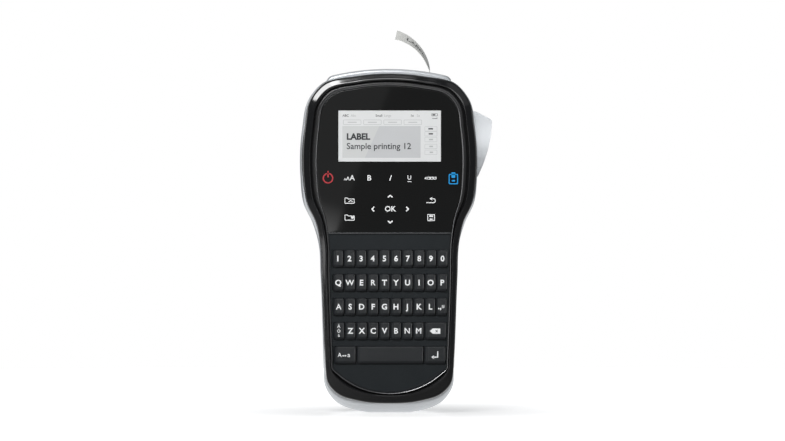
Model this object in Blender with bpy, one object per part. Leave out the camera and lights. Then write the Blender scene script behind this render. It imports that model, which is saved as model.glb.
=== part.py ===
"""Hand-held label maker: a full keyboard and a display on the front, a tape cassette and a cutter behind.

It stands on the flat foot of its bottom end. X runs to its right as the user sees it, where the cutter
lever is, Y runs from the front face to the back, and Z runs up to the label exit. Dimensions are in
millimetres, and MM scales them to metres as each mesh is made.
"""

import math

import bmesh
import bpy
from mathutils import Vector

MM = 0.001

# Half outlines as seen from the front, from the top centre round to the bottom centre: (x, z) of the
# front casing, of the rear shell and of the edge of the front panels, then the steps to the next point.
OUTLINES = (
    ((0.0, 196.9), (0.0, 197.6), (0.0, 189.9), 3),
    ((20.0, 195.3), (20.3, 196.0), (18.5, 188.4), 3),
    ((38.3, 190.8), (38.9, 191.5), (34.3, 183.8), 4),
    ((46.1, 181.5), (46.9, 182.0), (38.5, 178.5), 2),
    ((49.4, 165.5), (50.3, 166.0), (41.0, 164.9), 3),
    ((50.5, 138.0), (51.4, 138.0), (42.1, 138.0), 2),
    ((47.9, 121.2), (49.3, 121.2), (40.7, 124.0), 2),
    ((42.9, 110.7), (44.4, 110.7), (37.6, 113.8), 2),
    ((39.8, 98.0), (41.0, 98.0), (35.4, 98.6), 3),
    ((38.9, 80.0), (40.0, 80.0), (35.0, 80.0), 5),
    ((37.05, 31.0), (38.35, 31.0), (33.25, 31.0), 1),
    ((36.8, 26.0), (38.2, 26.0), (33.0, 26.0), 2),
    ((35.3, 17.2), (37.3, 14.5), (29.5, 22.7), 3),
    ((30.5, 11.6), (32.9, 7.8), (23.0, 18.0), 3),
    ((17.0, 6.8), (12.0, 0.0), (12.0, 13.3), 2),
    ((0.0, 5.5), (0.0, 0.0), (0.0, 11.7), 1),
)
FRONT, REAR, PANEL = 0, 1, 2

# Depth, from the rim's crest (most negative Y) to the back
CREST_Y = -24.0
DISPLAY_PANEL_Y = -22.8
KEYBOARD_PANEL_Y = -21.8
RECESS_FLOOR_Y = -20.3
CEILING_Y = -18.3
BOARD_Y = (-15.0, -13.4)
PARTING_Y = -10.0
PARTING_GAP = 0.3
DECK_Y = (2.5, 4.0)
HANDLE_BACK_Y = 18.5
HEAD_BACK_Y = 34.0
HEEL_RISE = 7.5
HEEL_TOP_Z = 34.0
SHOULDER_Z = (66.0, 104.0)
CROSS_GAP = 0.3
WALL = 2.4

# Front casing: the round rim, then a groove, then a flat band down to the panels. The rim takes this
# share of the way from the casing's outline to the panels, more along the handle than round the head.
RIM_SHARE_HEAD = 0.62
RIM_SHARE_HANDLE = 0.84
RIM_CHANGE_Z = (96.0, 124.0)
RIM_PROFILE = ((0.0, -20.5), (0.07, -22.4), (0.28, -23.7), (0.55, CREST_Y), (0.85, -23.5), (1.0, -22.2))
BAND_PROFILE = ((0.12, -22.9), (1.0, -23.1))
PANEL_SPLIT_Z = 104.4
PANEL_GAP = 0.25

# Display
LCD_CENTRE_Z = 160.6
LCD_HALF = (29.7, 14.8)
LCD_FACE_Y = -22.6
LCD_CARRIER_HALF = (33.0, 18.6)
LCD_CARRIER_Y = (-18.0, -15.3)

# Keyboard: rows of keys, each key as (name, columns it spans)
KEY_ROWS = (
    [(c, 1) for c in "1234567890"],
    [(c, 1) for c in "qwertyuiop"],
    [(c, 1) for c in "asdfghjkl"] + [("symbol", 1)],
    [("accent", 1)] + [(c, 1) for c in "zxcvbnm"] + [("backspace", 2)],
    [("caps", 2), ("space", 6), ("enter", 2)],
)
KEY_COLUMNS = 10
KEY_TOP_ROW_Z = 89.5
KEY_ROW_PITCH = 13.95
KEY_FIELD_TOP_HALF = 33.7
KEY_FIELD_TAPER = 0.0197
KEY_SPACING = 0.5
KEY_HALF_HEIGHT = 4.9
KEY_TOP_Y = -23.4
KEY_CHAMFER = 0.5
KEY_FLANGE = 0.8
KEY_FLANGE_Y = (-17.9, -17.2)
KEY_CLEARANCE = 0.25

# Rear shell: (share of the depth from the parting line to the back, inset from its outline)
SHELL_SHOULDER_SHARE = 0.12
SHELL_ROUND_SHARE = 0.80
SHELL_ROUND_INSET = 8.0
BAY_SPLIT_Z = (101.0, 104.0)
HEAD_BAY_Y = (25.0, 29.4)
HEAD_BAY_TAPER = 4.0
HANDLE_BAY_Y = 13.2
CROWN_HALF_WIDTH = 36.0
CROWN_TOP_Z = 199.9
CROWN_RADIUS = 144.0
CROWN_Y = (-9.4, 22.0)
CROWN_BASE_Z = 188.0
USB_Z = 150.0

# Covers
COVER_THICKNESS = 2.0
COVER_LEDGE = 1.5
CASSETTE_COVER_INSET = 9.0
CASSETTE_COVER_Z = 108.0
CASSETTE_HINGE = (-42.9, HEAD_BACK_Y, 150.0)
CASSETTE_NOTCH_RADIUS = 9.0
BATTERY_COVER_HALF_WIDTH = 27.0
BATTERY_COVER_Z = (12.0, 90.0)

# Tape path, print mechanism and cutter
TAPE_X = 24.4
TAPE_Y = 11.5
TAPE_WIDTH = 12.0
TAPE_THICKNESS = 0.3
TAPE_INNER_Z = 156.0
TAPE_EXIT_Z = 197.6
TAPE_CURL_RADIUS = 27.0
TAPE_CURL_DEG = (97.0, 165.0)
TAPE_TWIST_DEG = 28.0
TAPE_TWIST_POWER = 0.7
TAPE_SLOT_HALF = 0.85
PLATEN_AXIS = (19.0, 170.0)
PLATEN_RADIUS = 5.0
MECHANISM_Y = (4.5, 17.5)
GEAR_Y = (-1.4, 1.6)
GEAR_MODULE = 0.6
PLATEN_TEETH = 46
PINION_TEETH = 14
PINION_X = 35.0
MOTOR_RADIUS = 6.0
MOTOR_LENGTH = 18.0
LEVER_PIVOT = (45.5, 137.5)
LEVER_Y = (-4.0, 18.0)
LEVER_ARM_Y = (6.0, 17.0)
LEVER_SLOT_Z = (135.2, 177.8)
LEVER_SLOT_X = (38.5, 60.0)
BLADE_X = (32.2, 36.7)
BLADE_Z = 185.25
BLADE_THICKNESS = 1.5
CASSETTE_X = (-36.0, 13.5)
CASSETTE_Z = (116.0, 184.0)
CASSETTE_Y = (4.4, 23.4)
BATTERY_HALF_WIDTH = 25.0
BATTERY_Y = (4.4, 15.6)
BATTERY_Z = (15.0, 87.0)

ROUND_STEPS = 24
SMOOTH_ANGLE = math.radians(35)


# ---- shapes in the front plane ---------------------------------------------------------------------


def smooth_loop(points, steps):
    """Points along a smooth closed curve through the given ones, each span in its own number of steps."""
    count = len(points)
    points = [Vector(p) for p in points]
    spans = [(points[(i + 1) % count] - points[i]).length for i in range(count)]
    slopes = []
    for i in range(count):
        into = (points[i] - points[i - 1]) / spans[i - 1]
        out = (points[(i + 1) % count] - points[i]) / spans[i]
        slopes.append((into * spans[i] + out * spans[i - 1]) / (spans[i] + spans[i - 1]))
    loop = []
    for i in range(count):
        after = (i + 1) % count
        for j in range(steps[i]):
            t = j / steps[i]
            here = points[i] * (2 * t**3 - 3 * t**2 + 1) + points[after] * (3 * t**2 - 2 * t**3)
            turn = slopes[i] * (t**3 - 2 * t**2 + t) + slopes[after] * (t**3 - t**2)
            loop.append(here + turn * spans[i])
    return loop


def outline(column):
    """One column of OUTLINES as a closed loop, clockwise from the top centre, the left side mirrored."""
    right = [row[column] for row in OUTLINES]
    left = [(-x, z) for x, z in right[-2:0:-1]]
    steps = [row[-1] for row in OUTLINES[:-1]]
    loop = smooth_loop(right + left, steps + steps[::-1])
    return [Vector((p.x, max(p.y, 0.0))) for p in loop]


def inset(loop, distance):
    """The loop moved inwards; clockwise loops have their inside on the right."""
    moved = []
    for i, point in enumerate(loop):
        along = (loop[(i + 1) % len(loop)] - loop[i - 1]).normalized()
        moved.append(point + Vector((along.y, -along.x)) * distance)
    return moved


def between(first, second, share):
    """Each point that share of the way from the first loop to the second; share may depend on z."""
    part = share if callable(share) else lambda z: share
    return [a.lerp(b, part(a.y)) for a, b in zip(first, second)]


def keep_side(loop, z, above):
    """The part of a loop above or below the height z, closed by a straight edge there."""
    kept = []
    for i, here in enumerate(loop):
        after = loop[(i + 1) % len(loop)]
        if (here.y > z) == above:
            kept.append(here)
        if (here.y > z) != (after.y > z):
            kept.append(here.lerp(after, (z - here.y) / (after.y - here.y)))
    return kept


def rounded_rectangle(x_range, z_range, radius, steps=4):
    """A clockwise rectangle with round corners."""
    loop = []
    corners = ((1, 1, 90), (1, 0, 0), (0, 0, -90), (0, 1, -180))
    for right, top, start in corners:
        x = x_range[right] + (-radius if right else radius)
        z = z_range[top] + (-radius if top else radius)
        for i in range(steps + 1):
            angle = math.radians(start - 90 * i / steps)
            loop.append(Vector((x + radius * math.cos(angle), z + radius * math.sin(angle))))
    return loop


def circle(centre, radius, steps=ROUND_STEPS):
    turns = [-2 * math.pi * i / steps for i in range(steps)]
    return [Vector((centre[0] + radius * math.cos(a), centre[1] + radius * math.sin(a))) for a in turns]


def gear_loop(centre, teeth, tooth_angle):
    """A gear's outline with one tooth centred on tooth_angle; the teeth are slim, for backlash."""
    pitch_radius = teeth * GEAR_MODULE / 2
    tip = pitch_radius + 0.55 * GEAR_MODULE
    root = pitch_radius - 0.95 * GEAR_MODULE
    loop = []
    for i in range(teeth):
        for turn, radius in ((0.36, root), (0.13, tip), (-0.13, tip), (-0.36, root)):
            angle = tooth_angle - 2 * math.pi * (i - turn) / teeth
            loop.append(Vector((centre[0] + radius * math.cos(angle), centre[1] + radius * math.sin(angle))))
    return loop


def ease(value):
    value = min(max(value, 0.0), 1.0)
    return value * value * (3 - 2 * value)


def back_y(z):
    """Depth of the back surface: deep at the head, slim along the handle and a little deeper at the heel."""
    head = ease((z - SHOULDER_Z[0]) / (SHOULDER_Z[1] - SHOULDER_Z[0]))
    heel = ease((HEEL_TOP_Z - z) / HEEL_TOP_Z)
    return HANDLE_BACK_Y + (HEAD_BACK_Y - HANDLE_BACK_Y) * head + HEEL_RISE * heel


def rim_share(z):
    head = ease((z - RIM_CHANGE_Z[0]) / (RIM_CHANGE_Z[1] - RIM_CHANGE_Z[0]))
    return RIM_SHARE_HANDLE + (RIM_SHARE_HEAD - RIM_SHARE_HANDLE) * head


# ---- solids ----------------------------------------------------------------------------------------


def at_depth(loop, y):
    """A loop of the front plane as points in space; y is a depth, or a function of z."""
    depth = y if callable(y) else lambda z: y
    return [Vector((p.x, depth(p.y), p.y)) for p in loop]


def loft(rows, paired_caps=False):
    """A closed mesh through loops of equal length. Paired caps join left and right points in strips."""
    mesh = bmesh.new()
    verts = [[mesh.verts.new(point * MM) for point in row] for row in rows]
    count = len(rows[0])
    for lower, upper in zip(verts, verts[1:]):
        for i in range(count):
            after = (i + 1) % count
            mesh.faces.new((lower[i], lower[after], upper[after], upper[i]))
    for row in (verts[0], verts[-1]):
        if not paired_caps:
            mesh.faces.new(row)
            continue
        foot = count // 2 - 2
        for i in range(foot):
            corners = (row[i], row[i + 1], row[-i - 1], row[-i % count])
            mesh.faces.new(dict.fromkeys(corners))
        mesh.faces.new([row[i] for i in range(foot, foot + 5)])
    bmesh.ops.recalc_face_normals(mesh, faces=mesh.faces)
    return mesh


def prism(loop, y_range):
    return loft([at_depth(loop, y) for y in y_range])


def box(x_range, y_range, z_range):
    corners = [Vector((x_range[i], z_range[j])) for i, j in ((0, 1), (1, 1), (1, 0), (0, 0))]
    return prism(corners, y_range)


def finish(name, mesh, material, origin=(0.0, 0.0, 0.0)):
    """An object of this mesh whose origin is at the given point, in millimetres."""
    bmesh.ops.translate(mesh, verts=mesh.verts, vec=-Vector(origin) * MM)
    data = bpy.data.meshes.new(name)
    mesh.to_mesh(data)
    mesh.free()
    data.materials.append(material)
    data.shade_smooth()
    data.set_sharp_from_angle(angle=SMOOTH_ANGLE)
    made = bpy.data.objects.new(name, data)
    made.location = Vector(origin) * MM
    bpy.context.scene.collection.objects.link(made)
    return made


def combine(target, operation, *meshes):
    """Cuts the helper meshes from the target, or joins them to it."""
    for number, mesh in enumerate(meshes):
        name = f"{target.name}_{operation.lower()}_{len(target.modifiers)}"
        helper = finish(name, mesh, target.data.materials[0])
        helper.hide_render = True
        helper.display_type = "WIRE"
        modifier = target.modifiers.new(f"{operation.title()} {number}", "BOOLEAN")
        modifier.operation = operation
        modifier.solver = "EXACT"
        modifier.object = helper


def material(name, color, roughness, metallic=0.0):
    made = bpy.data.materials.new(name)
    made.use_nodes = True
    shader = made.node_tree.nodes["Principled BSDF"]
    shader.inputs["Base Color"].default_value = (*color, 1.0)
    shader.inputs["Roughness"].default_value = roughness
    shader.inputs["Metallic"].default_value = metallic
    return made


# ---- casings ---------------------------------------------------------------------------------------


def key_row_z(row):
    return KEY_TOP_ROW_Z - row * KEY_ROW_PITCH


def key_row_half(row):
    """Half the width of a row of keys: the rows narrow with the handle."""
    return KEY_FIELD_TOP_HALF - KEY_FIELD_TAPER * row * KEY_ROW_PITCH


def key_openings(y_range, clearance):
    """One cutter for each row of keys."""
    cutters = []
    for row in range(len(KEY_ROWS)):
        half = key_row_half(row) - KEY_SPACING / 2 + clearance
        z = key_row_z(row)
        height = KEY_HALF_HEIGHT + clearance
        cutters.append(box((-half, half), y_range, (z - height, z + height)))
    return cutters


def lcd_opening(y_range, clearance):
    half_x, half_z = LCD_HALF[0] + clearance, LCD_HALF[1] + clearance
    return box((-half_x, half_x), y_range, (LCD_CENTRE_Z - half_z, LCD_CENTRE_Z + half_z))


def front_housing(gloss):
    casing, panel = outline(FRONT), outline(PANEL)
    edge_y = PARTING_Y - PARTING_GAP / 2
    rows = [at_depth(inset(casing, WALL), CEILING_Y)]
    rows.append(at_depth(inset(casing, WALL), edge_y))
    rows.append(at_depth(casing, edge_y))
    for part, y in RIM_PROFILE:
        rows.append(at_depth(between(casing, panel, lambda z, part=part: part * rim_share(z)), y))
    for part, y in BAND_PROFILE:
        share = lambda z, part=part: rim_share(z) + part * (1 - rim_share(z))
        rows.append(at_depth(between(casing, panel, share), y))
    rows.append(at_depth(panel, RECESS_FLOOR_Y))
    made = finish("front_housing", loft(rows, paired_caps=True), gloss)
    through = (CEILING_Y + 1.0, RECESS_FLOOR_Y - 1.0)
    usb_notch = box((-55.0, -40.0), (-13.8, PARTING_Y + 1.0), (USB_Z - 4.6, USB_Z + 4.6))
    combine(made, "DIFFERENCE", lcd_opening(through, 0.4), usb_notch)
    combine(made, "DIFFERENCE", *key_openings(through, 0.3))


def display_panel(gloss):
    edge = keep_side(inset(outline(PANEL), PANEL_GAP), PANEL_SPLIT_Z + PANEL_GAP, above=True)
    y_range = (RECESS_FLOOR_Y - PANEL_GAP, DISPLAY_PANEL_Y)
    made = finish("display_panel", prism(edge, y_range), gloss)
    combine(made, "DIFFERENCE", lcd_opening((y_range[0] + 1.0, y_range[1] - 1.0), 0.2))


def keyboard_panel(matte):
    edge = keep_side(inset(outline(PANEL), PANEL_GAP), PANEL_SPLIT_Z - PANEL_GAP, above=False)
    y_range = (RECESS_FLOOR_Y - PANEL_GAP, KEYBOARD_PANEL_Y)
    made = finish("keyboard_panel", prism(edge, y_range), matte)
    cutters = key_openings((y_range[0] + 1.0, y_range[1] - 1.0), KEY_CLEARANCE)
    combine(made, "DIFFERENCE", *cutters)


def lcd_module(glass):
    z = LCD_CENTRE_Z
    half_x, half_z = LCD_HALF
    pane_y = (LCD_CARRIER_Y[0] + 0.5, LCD_FACE_Y)
    carrier_x, carrier_z = LCD_CARRIER_HALF
    pane = box((-half_x, half_x), pane_y, (z - half_z, z + half_z))
    made = finish("lcd_module", pane, glass)
    carrier = box((-carrier_x, carrier_x), LCD_CARRIER_Y, (z - carrier_z, z + carrier_z))
    combine(made, "UNION", carrier)


def main_board(green):
    edge = inset(outline(FRONT), 3.2)
    made = finish("main_board", prism(edge, BOARD_Y), green)
    back = BOARD_Y[1] - 0.2
    # Two chips, a capacitor row and the USB socket, all on the back of the board
    chips = (
        box((-12.0, 2.0), (back, -11.6), (118.0, 132.0)),
        box((8.0, 18.0), (back, -11.9), (60.0, 70.0)),
        box((-28.0, -8.0), (back, -9.0), (92.0, 97.0)),
    )
    combine(made, "UNION", *chips)
    combine(made, "UNION", box((-48.0, -42.0), (back, -10.6), (USB_Z - 4.0, USB_Z + 4.0)))
    combine(made, "DIFFERENCE", box((-49.0, -43.0), (-12.9, -11.1), (USB_Z - 3.4, USB_Z + 3.4)))


def keypad_mat(rubber):
    bottom = key_row_z(len(KEY_ROWS) - 1) - KEY_HALF_HEIGHT - 1.5
    top = key_row_z(0) + KEY_HALF_HEIGHT + 1.5
    half = key_row_half(len(KEY_ROWS) - 1)
    sheet = rounded_rectangle((-half, half), (bottom, top), 3.0, 3)
    finish("keypad_mat", prism(sheet, (-15.9, -15.3)), rubber)


def rear_shell_rows():
    """The rear shell's outer surface, loop by loop from the parting line to the back."""
    shell = outline(REAR)
    rows = [(0.0, outline(FRONT)), (SHELL_SHOULDER_SHARE, shell), (SHELL_ROUND_SHARE, shell)]
    for degrees in (30, 60, 90):
        angle = math.radians(degrees)
        share = SHELL_ROUND_SHARE + (1 - SHELL_ROUND_SHARE) * math.sin(angle)
        rows.append((share, inset(shell, SHELL_ROUND_INSET * (1 - math.cos(angle)))))
    start = PARTING_Y + PARTING_GAP / 2
    return [
        at_depth(loop, lambda z, share=share: start + (back_y(z) - start) * share)
        for share, loop in rows
    ]


def crown():
    """The raised block round the label exit, with a curved top."""
    steps = 12
    top = []
    for i in range(steps + 1):
        x = CROWN_HALF_WIDTH * (2 * i / steps - 1)
        drop = CROWN_RADIUS - math.sqrt(CROWN_RADIUS**2 - x**2)
        top.append(Vector((x, CROWN_TOP_Z - drop)))
    top[0] += Vector((1.2, 0.0))
    top[-1] -= Vector((1.2, 0.0))
    ends = [Vector((CROWN_HALF_WIDTH, z)) for z in (top[-1].y - 1.2, CROWN_BASE_Z)]
    loop = top + ends + [Vector((-p.x, p.y)) for p in reversed(ends)]
    front, back = CROWN_Y
    shrunk = [Vector((p.x * 0.97, p.y - 1.2)) for p in loop]
    rows = [at_depth(shrunk, front), at_depth(loop, front + 2.2), at_depth(loop, back - 2.2)]
    return loft(rows + [at_depth(shrunk, back)])


def battery_cover_solid(grow, outer, inner):
    """A plate that follows the back of the handle, from inner to outer depth off its surface."""
    half = BATTERY_COVER_HALF_WIDTH + grow
    low, high = BATTERY_COVER_Z[0] - grow, BATTERY_COVER_Z[1] + grow
    steps = 10
    heights = [low + (high - low) * i / steps for i in range(steps + 1)]
    right = [Vector((half, z)) for z in reversed(heights)]
    loop = right + [Vector((-p.x, p.y)) for p in reversed(right)]
    mesh = bmesh.new()
    layers = []
    for offset in (inner, outer):
        points = at_depth(loop, lambda z, offset=offset: back_y(z) + offset)
        layers.append([mesh.verts.new(point * MM) for point in points])
    count = len(loop)
    for i in range(count):
        after = (i + 1) % count
        mesh.faces.new((layers[0][i], layers[0][after], layers[1][after], layers[1][i]))
    for layer in layers:
        for i in range(steps):
            mesh.faces.new((layer[i], layer[i + 1], layer[count - 2 - i], layer[count - 1 - i]))
    bmesh.ops.recalc_face_normals(mesh, faces=mesh.faces)
    return mesh


def lever_lug(y_range):
    """A lug inside the right wall that carries one end of the lever's pivot."""
    x, z = LEVER_PIVOT
    return box((x - 3.6, x + 4.6), y_range, (z - 3.7, z + 3.7))


def rear_housing(silver):
    shell = outline(REAR)
    made = finish("rear_housing", loft(rear_shell_rows(), paired_caps=True), silver)
    combine(made, "UNION", crown())
    inner = inset(shell, WALL + 0.2)
    head = keep_side(inner, BAY_SPLIT_Z[1], above=True)
    handle = keep_side(inner, BAY_SPLIT_Z[0], above=False)
    front_space = prism(inset(outline(FRONT), WALL), (PARTING_Y - 2.0, DECK_Y[0]))
    middle = Vector((0.0, 150.0))
    shrunk = [p.lerp(middle, HEAD_BAY_TAPER / 45.0) for p in head]
    rows = [at_depth(head, DECK_Y[1]), at_depth(head, HEAD_BAY_Y[0]), at_depth(shrunk, HEAD_BAY_Y[1])]
    combine(made, "DIFFERENCE", front_space, loft(rows), prism(handle, (DECK_Y[1], HANDLE_BAY_Y)))

    # Recesses for the covers, each with a ledge and an opening through it
    around, bottom = CASSETTE_COVER_INSET - CROSS_GAP, CASSETTE_COVER_Z - CROSS_GAP
    cover_edge = keep_side(inset(shell, around), bottom, above=True)
    recess_y = (HEAD_BACK_Y - COVER_THICKNESS - CROSS_GAP, HEAD_BACK_Y + 3.0)
    around, bottom = CASSETTE_COVER_INSET + COVER_LEDGE, CASSETTE_COVER_Z + COVER_LEDGE
    ledge_y = (HEAD_BAY_Y[1] - 2.0, recess_y[0] + 1.0)
    ledge = prism(keep_side(inset(shell, around), bottom, above=True), ledge_y)
    combine(made, "DIFFERENCE", prism(cover_edge, recess_y), ledge)
    combine(made, "DIFFERENCE", battery_cover_solid(CROSS_GAP, 5.0, -COVER_THICKNESS - CROSS_GAP))
    battery_opening_x = (-BATTERY_COVER_HALF_WIDTH + COVER_LEDGE, BATTERY_COVER_HALF_WIDTH - COVER_LEDGE)
    battery_opening_z = (BATTERY_COVER_Z[0] + COVER_LEDGE, BATTERY_COVER_Z[1] - COVER_LEDGE)
    combine(made, "DIFFERENCE", box(battery_opening_x, (HANDLE_BAY_Y - 1.0, 40.0), battery_opening_z))

    # Finger notch beside the cassette cover, and the openings for the label and the lever
    notch_centre = (CASSETTE_HINGE[0] * -1 + 7.0, CASSETTE_HINGE[2])
    notch = prism(circle(notch_centre, CASSETTE_NOTCH_RADIUS), (HEAD_BACK_Y - 1.6, HEAD_BACK_Y + 5.0))
    slot_y = (TAPE_Y - TAPE_WIDTH / 2 - 0.6, TAPE_Y + TAPE_WIDTH / 2 + 0.6)
    exit_slot = box((TAPE_X - TAPE_SLOT_HALF, TAPE_X + TAPE_SLOT_HALF), slot_y, (188.0, 205.0))
    lever_slot = box(LEVER_SLOT_X, (LEVER_Y[0] - 0.5, LEVER_Y[1] + 0.5), LEVER_SLOT_Z)
    combine(made, "DIFFERENCE", notch, exit_slot, lever_slot)
    lugs = [lever_lug((LEVER_Y[0] - 3.5, LEVER_Y[0] - 0.7)), lever_lug((LEVER_Y[1] + 0.7, LEVER_Y[1] + 3.5))]
    combine(made, "UNION", *lugs)
    shafts = [
        prism(circle(LEVER_PIVOT, 2.1), (LEVER_Y[0] - 4.0, LEVER_Y[1] + 4.0)),
        prism(circle(PLATEN_AXIS, 1.9), (DECK_Y[0] - 1.0, DECK_Y[1] + 1.0)),
        prism(circle(pinion_axis(), 1.6), (DECK_Y[0] - 1.0, DECK_Y[1] + 1.0)),
    ]
    combine(made, "DIFFERENCE", *shafts)


# ---- covers, power and tape ------------------------------------------------------------------------


def cassette_cover(silver):
    edge = keep_side(inset(outline(REAR), CASSETTE_COVER_INSET), CASSETTE_COVER_Z, above=True)
    y_range = (HEAD_BACK_Y - COVER_THICKNESS, HEAD_BACK_Y)
    finish("cassette_cover", prism(edge, y_range), silver, CASSETTE_HINGE)


def battery_cover(silver):
    low = BATTERY_COVER_Z[0]
    hinge = (0.0, back_y(low), low)
    finish("battery_cover", battery_cover_solid(0.0, 0.0, -COVER_THICKNESS), silver, hinge)


def battery_pack(wrap):
    loop = rounded_rectangle((-BATTERY_HALF_WIDTH, BATTERY_HALF_WIDTH), BATTERY_Z, 4.0, 3)
    finish("battery_pack", prism(loop, BATTERY_Y), wrap)


def tape_cassette(plastic):
    loop = rounded_rectangle(CASSETTE_X, CASSETTE_Z, 5.0, 3)
    made = finish("tape_cassette", prism(loop, CASSETTE_Y), plastic)
    back = CASSETTE_Y[1]
    left = CASSETTE_X[0]
    hubs = (
        prism(circle((left + 22.0, CASSETTE_Z[0] + 22.0), 6.0), (back - 8.0, back + 1.0)),
        prism(circle((left + 30.0, CASSETTE_Z[1] - 18.0), 4.0), (back - 8.0, back + 1.0)),
    )
    combine(made, "DIFFERENCE", *hubs)


def label_tape(white):
    """The printed label: straight up from the print head, then curling left and twisting to the front."""
    stations = [(Vector((TAPE_X, TAPE_INNER_Z)), 90.0, 0.0), (Vector((TAPE_X, 192.0)), 90.0, 0.0)]
    start, end = TAPE_CURL_DEG
    steps = 10
    for i in range(steps + 1):
        share = i / steps
        heading = math.radians(start + (end - start) * share)
        x = TAPE_X + TAPE_CURL_RADIUS * (math.sin(heading) - math.sin(math.radians(start)))
        z = TAPE_EXIT_Z - TAPE_CURL_RADIUS * (math.cos(heading) - math.cos(math.radians(start)))
        twist = math.radians(TAPE_TWIST_DEG) * share**TAPE_TWIST_POWER
        stations.append((Vector((x, z)), math.degrees(heading), twist))
    rows = []
    for centre, heading, twist in stations:
        angle = math.radians(heading)
        along = Vector((math.cos(angle), 0.0, math.sin(angle)))
        outward = Vector((math.sin(angle), 0.0, -math.cos(angle)))
        across = Vector((0.0, math.cos(twist), 0.0)) + outward * math.sin(twist)
        through = across.cross(along) * TAPE_THICKNESS / 2
        middle = Vector((centre.x, TAPE_Y, centre.y))
        half = across * TAPE_WIDTH / 2
        low, high = middle - half, middle + half
        rows.append([low - through, low + through, high + through, high - through])
    finish("label_tape", loft(rows), white, (TAPE_X, TAPE_Y, TAPE_EXIT_Z))


# ---- print mechanism and cutter --------------------------------------------------------------------


def gear_distance():
    return GEAR_MODULE * (PLATEN_TEETH + PINION_TEETH) / 2 + 0.1


def pinion_axis():
    x = PLATEN_AXIS[0]
    return (PINION_X, PLATEN_AXIS[1] - math.sqrt(gear_distance() ** 2 - (PINION_X - x) ** 2))


def mesh_angle():
    """Direction from the platen's axis to the pinion's."""
    across = PINION_X - PLATEN_AXIS[0]
    return math.atan2(pinion_axis()[1] - PLATEN_AXIS[1], across)


def platen_roller(rubber):
    centre = PLATEN_AXIS
    roller = prism(circle(centre, PLATEN_RADIUS), MECHANISM_Y)
    made = finish("platen_roller", roller, rubber, gear_origin(centre))
    shaft = prism(circle(centre, 1.5, 12), (GEAR_Y[0] - 1.0, MECHANISM_Y[1] + 1.0))
    gear = prism(gear_loop(centre, PLATEN_TEETH, mesh_angle()), GEAR_Y)
    combine(made, "UNION", shaft, gear)


def motor_pinion(brass):
    centre = pinion_axis()
    tooth_angle = mesh_angle() + math.pi + math.pi / PINION_TEETH
    gear = prism(gear_loop(centre, PINION_TEETH, tooth_angle), GEAR_Y)
    made = finish("motor_pinion", gear, brass, gear_origin(centre))
    combine(made, "UNION", prism(circle(centre, 1.0, 12), (GEAR_Y[0] - 0.8, MECHANISM_Y[0] - 0.3)))


def gear_origin(centre):
    """A point of the front plane as an origin at the gears' depth."""
    return centre[0], GEAR_Y[1], centre[1]


def drive_motor(steel):
    front = MECHANISM_Y[0]
    can = prism(circle(pinion_axis(), MOTOR_RADIUS), (front, front + MOTOR_LENGTH))
    made = finish("drive_motor", can, steel)
    combine(made, "UNION", prism(circle(pinion_axis(), 2.2, 12), (front + 5.0, front + MOTOR_LENGTH + 1.4)))


def print_head(metal):
    """A thin head pressed against the tape, on an upright plate."""
    z = PLATEN_AXIS[1]
    face = TAPE_X + TAPE_THICKNESS / 2 + 0.35
    plate = box((face + 1.0, face + 3.4), MECHANISM_Y, (z - 7.0, z + 7.0))
    made = finish("print_head", plate, metal)
    combine(made, "UNION", box((face, face + 1.6), (5.0, 17.0), (z - 2.5, z + 2.5)))


def cutter_lever(silver):
    pivot_x, pivot_z = LEVER_PIVOT
    button = [
        Vector(p)
        for p in (
            (46.5, 175.7),
            (50.2, 175.7),
            (59.4, 171.0),
            (60.3, 169.6),
            (59.6, 161.0),
            (57.7, 152.5),
            (55.2, 144.8),
            (52.4, 138.2),
            (51.6, 136.8),
            (pivot_x + 2.0, 136.0),
            (pivot_x - 2.2, 136.0),
            (pivot_x - 2.6, 138.0),
            (46.5, 146.0),
        )
    ]
    origin = (pivot_x, 0.0, pivot_z)
    made = finish("cutter_lever", prism(button, LEVER_Y), silver, origin)
    corners = ((37.0, 186.6), (39.0, 186.6), (46.8, 175.5), (48.0, 168.0), (46.4, 168.0), (37.0, 184.0))
    arm = [Vector(p) for p in corners]
    stubs = prism(circle(LEVER_PIVOT, 1.8), (LEVER_Y[0] - 3.0, LEVER_Y[1] + 3.0))
    combine(made, "UNION", prism(arm, LEVER_ARM_Y), stubs)


def cutter_blade(steel):
    tip, heel = BLADE_X
    half = BLADE_THICKNESS / 2
    edge = tip + 1.8
    top, bottom = BLADE_Z + half, BLADE_Z - half
    loop = [Vector(p) for p in ((tip, BLADE_Z), (edge, top), (heel, top), (heel, bottom), (edge, bottom))]
    finish("cutter_blade", prism(loop, MECHANISM_Y), steel, (tip, MECHANISM_Y[0], BLADE_Z))


# ---- keys ------------------------------------------------------------------------------------------


def key_mesh(half_x, half_z):
    """A key about its own centre: a flange under the casing, straight sides and a chamfered top."""
    flange_top, flange_bottom = KEY_FLANGE_Y
    sections = (
        (half_x - 0.1, half_z + KEY_FLANGE, flange_bottom),
        (half_x - 0.1, half_z + KEY_FLANGE, flange_top),
        (half_x, half_z, flange_top - 0.1),
        (half_x, half_z, KEY_TOP_Y + KEY_CHAMFER),
        (half_x - KEY_CHAMFER, half_z - KEY_CHAMFER, KEY_TOP_Y),
    )
    rows = []
    for x, z, y in sections:
        rows.append([Vector((sx * x, y, sz * z)) for sx, sz in ((-1, 1), (1, 1), (1, -1), (-1, -1))])
    return loft(rows)


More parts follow.
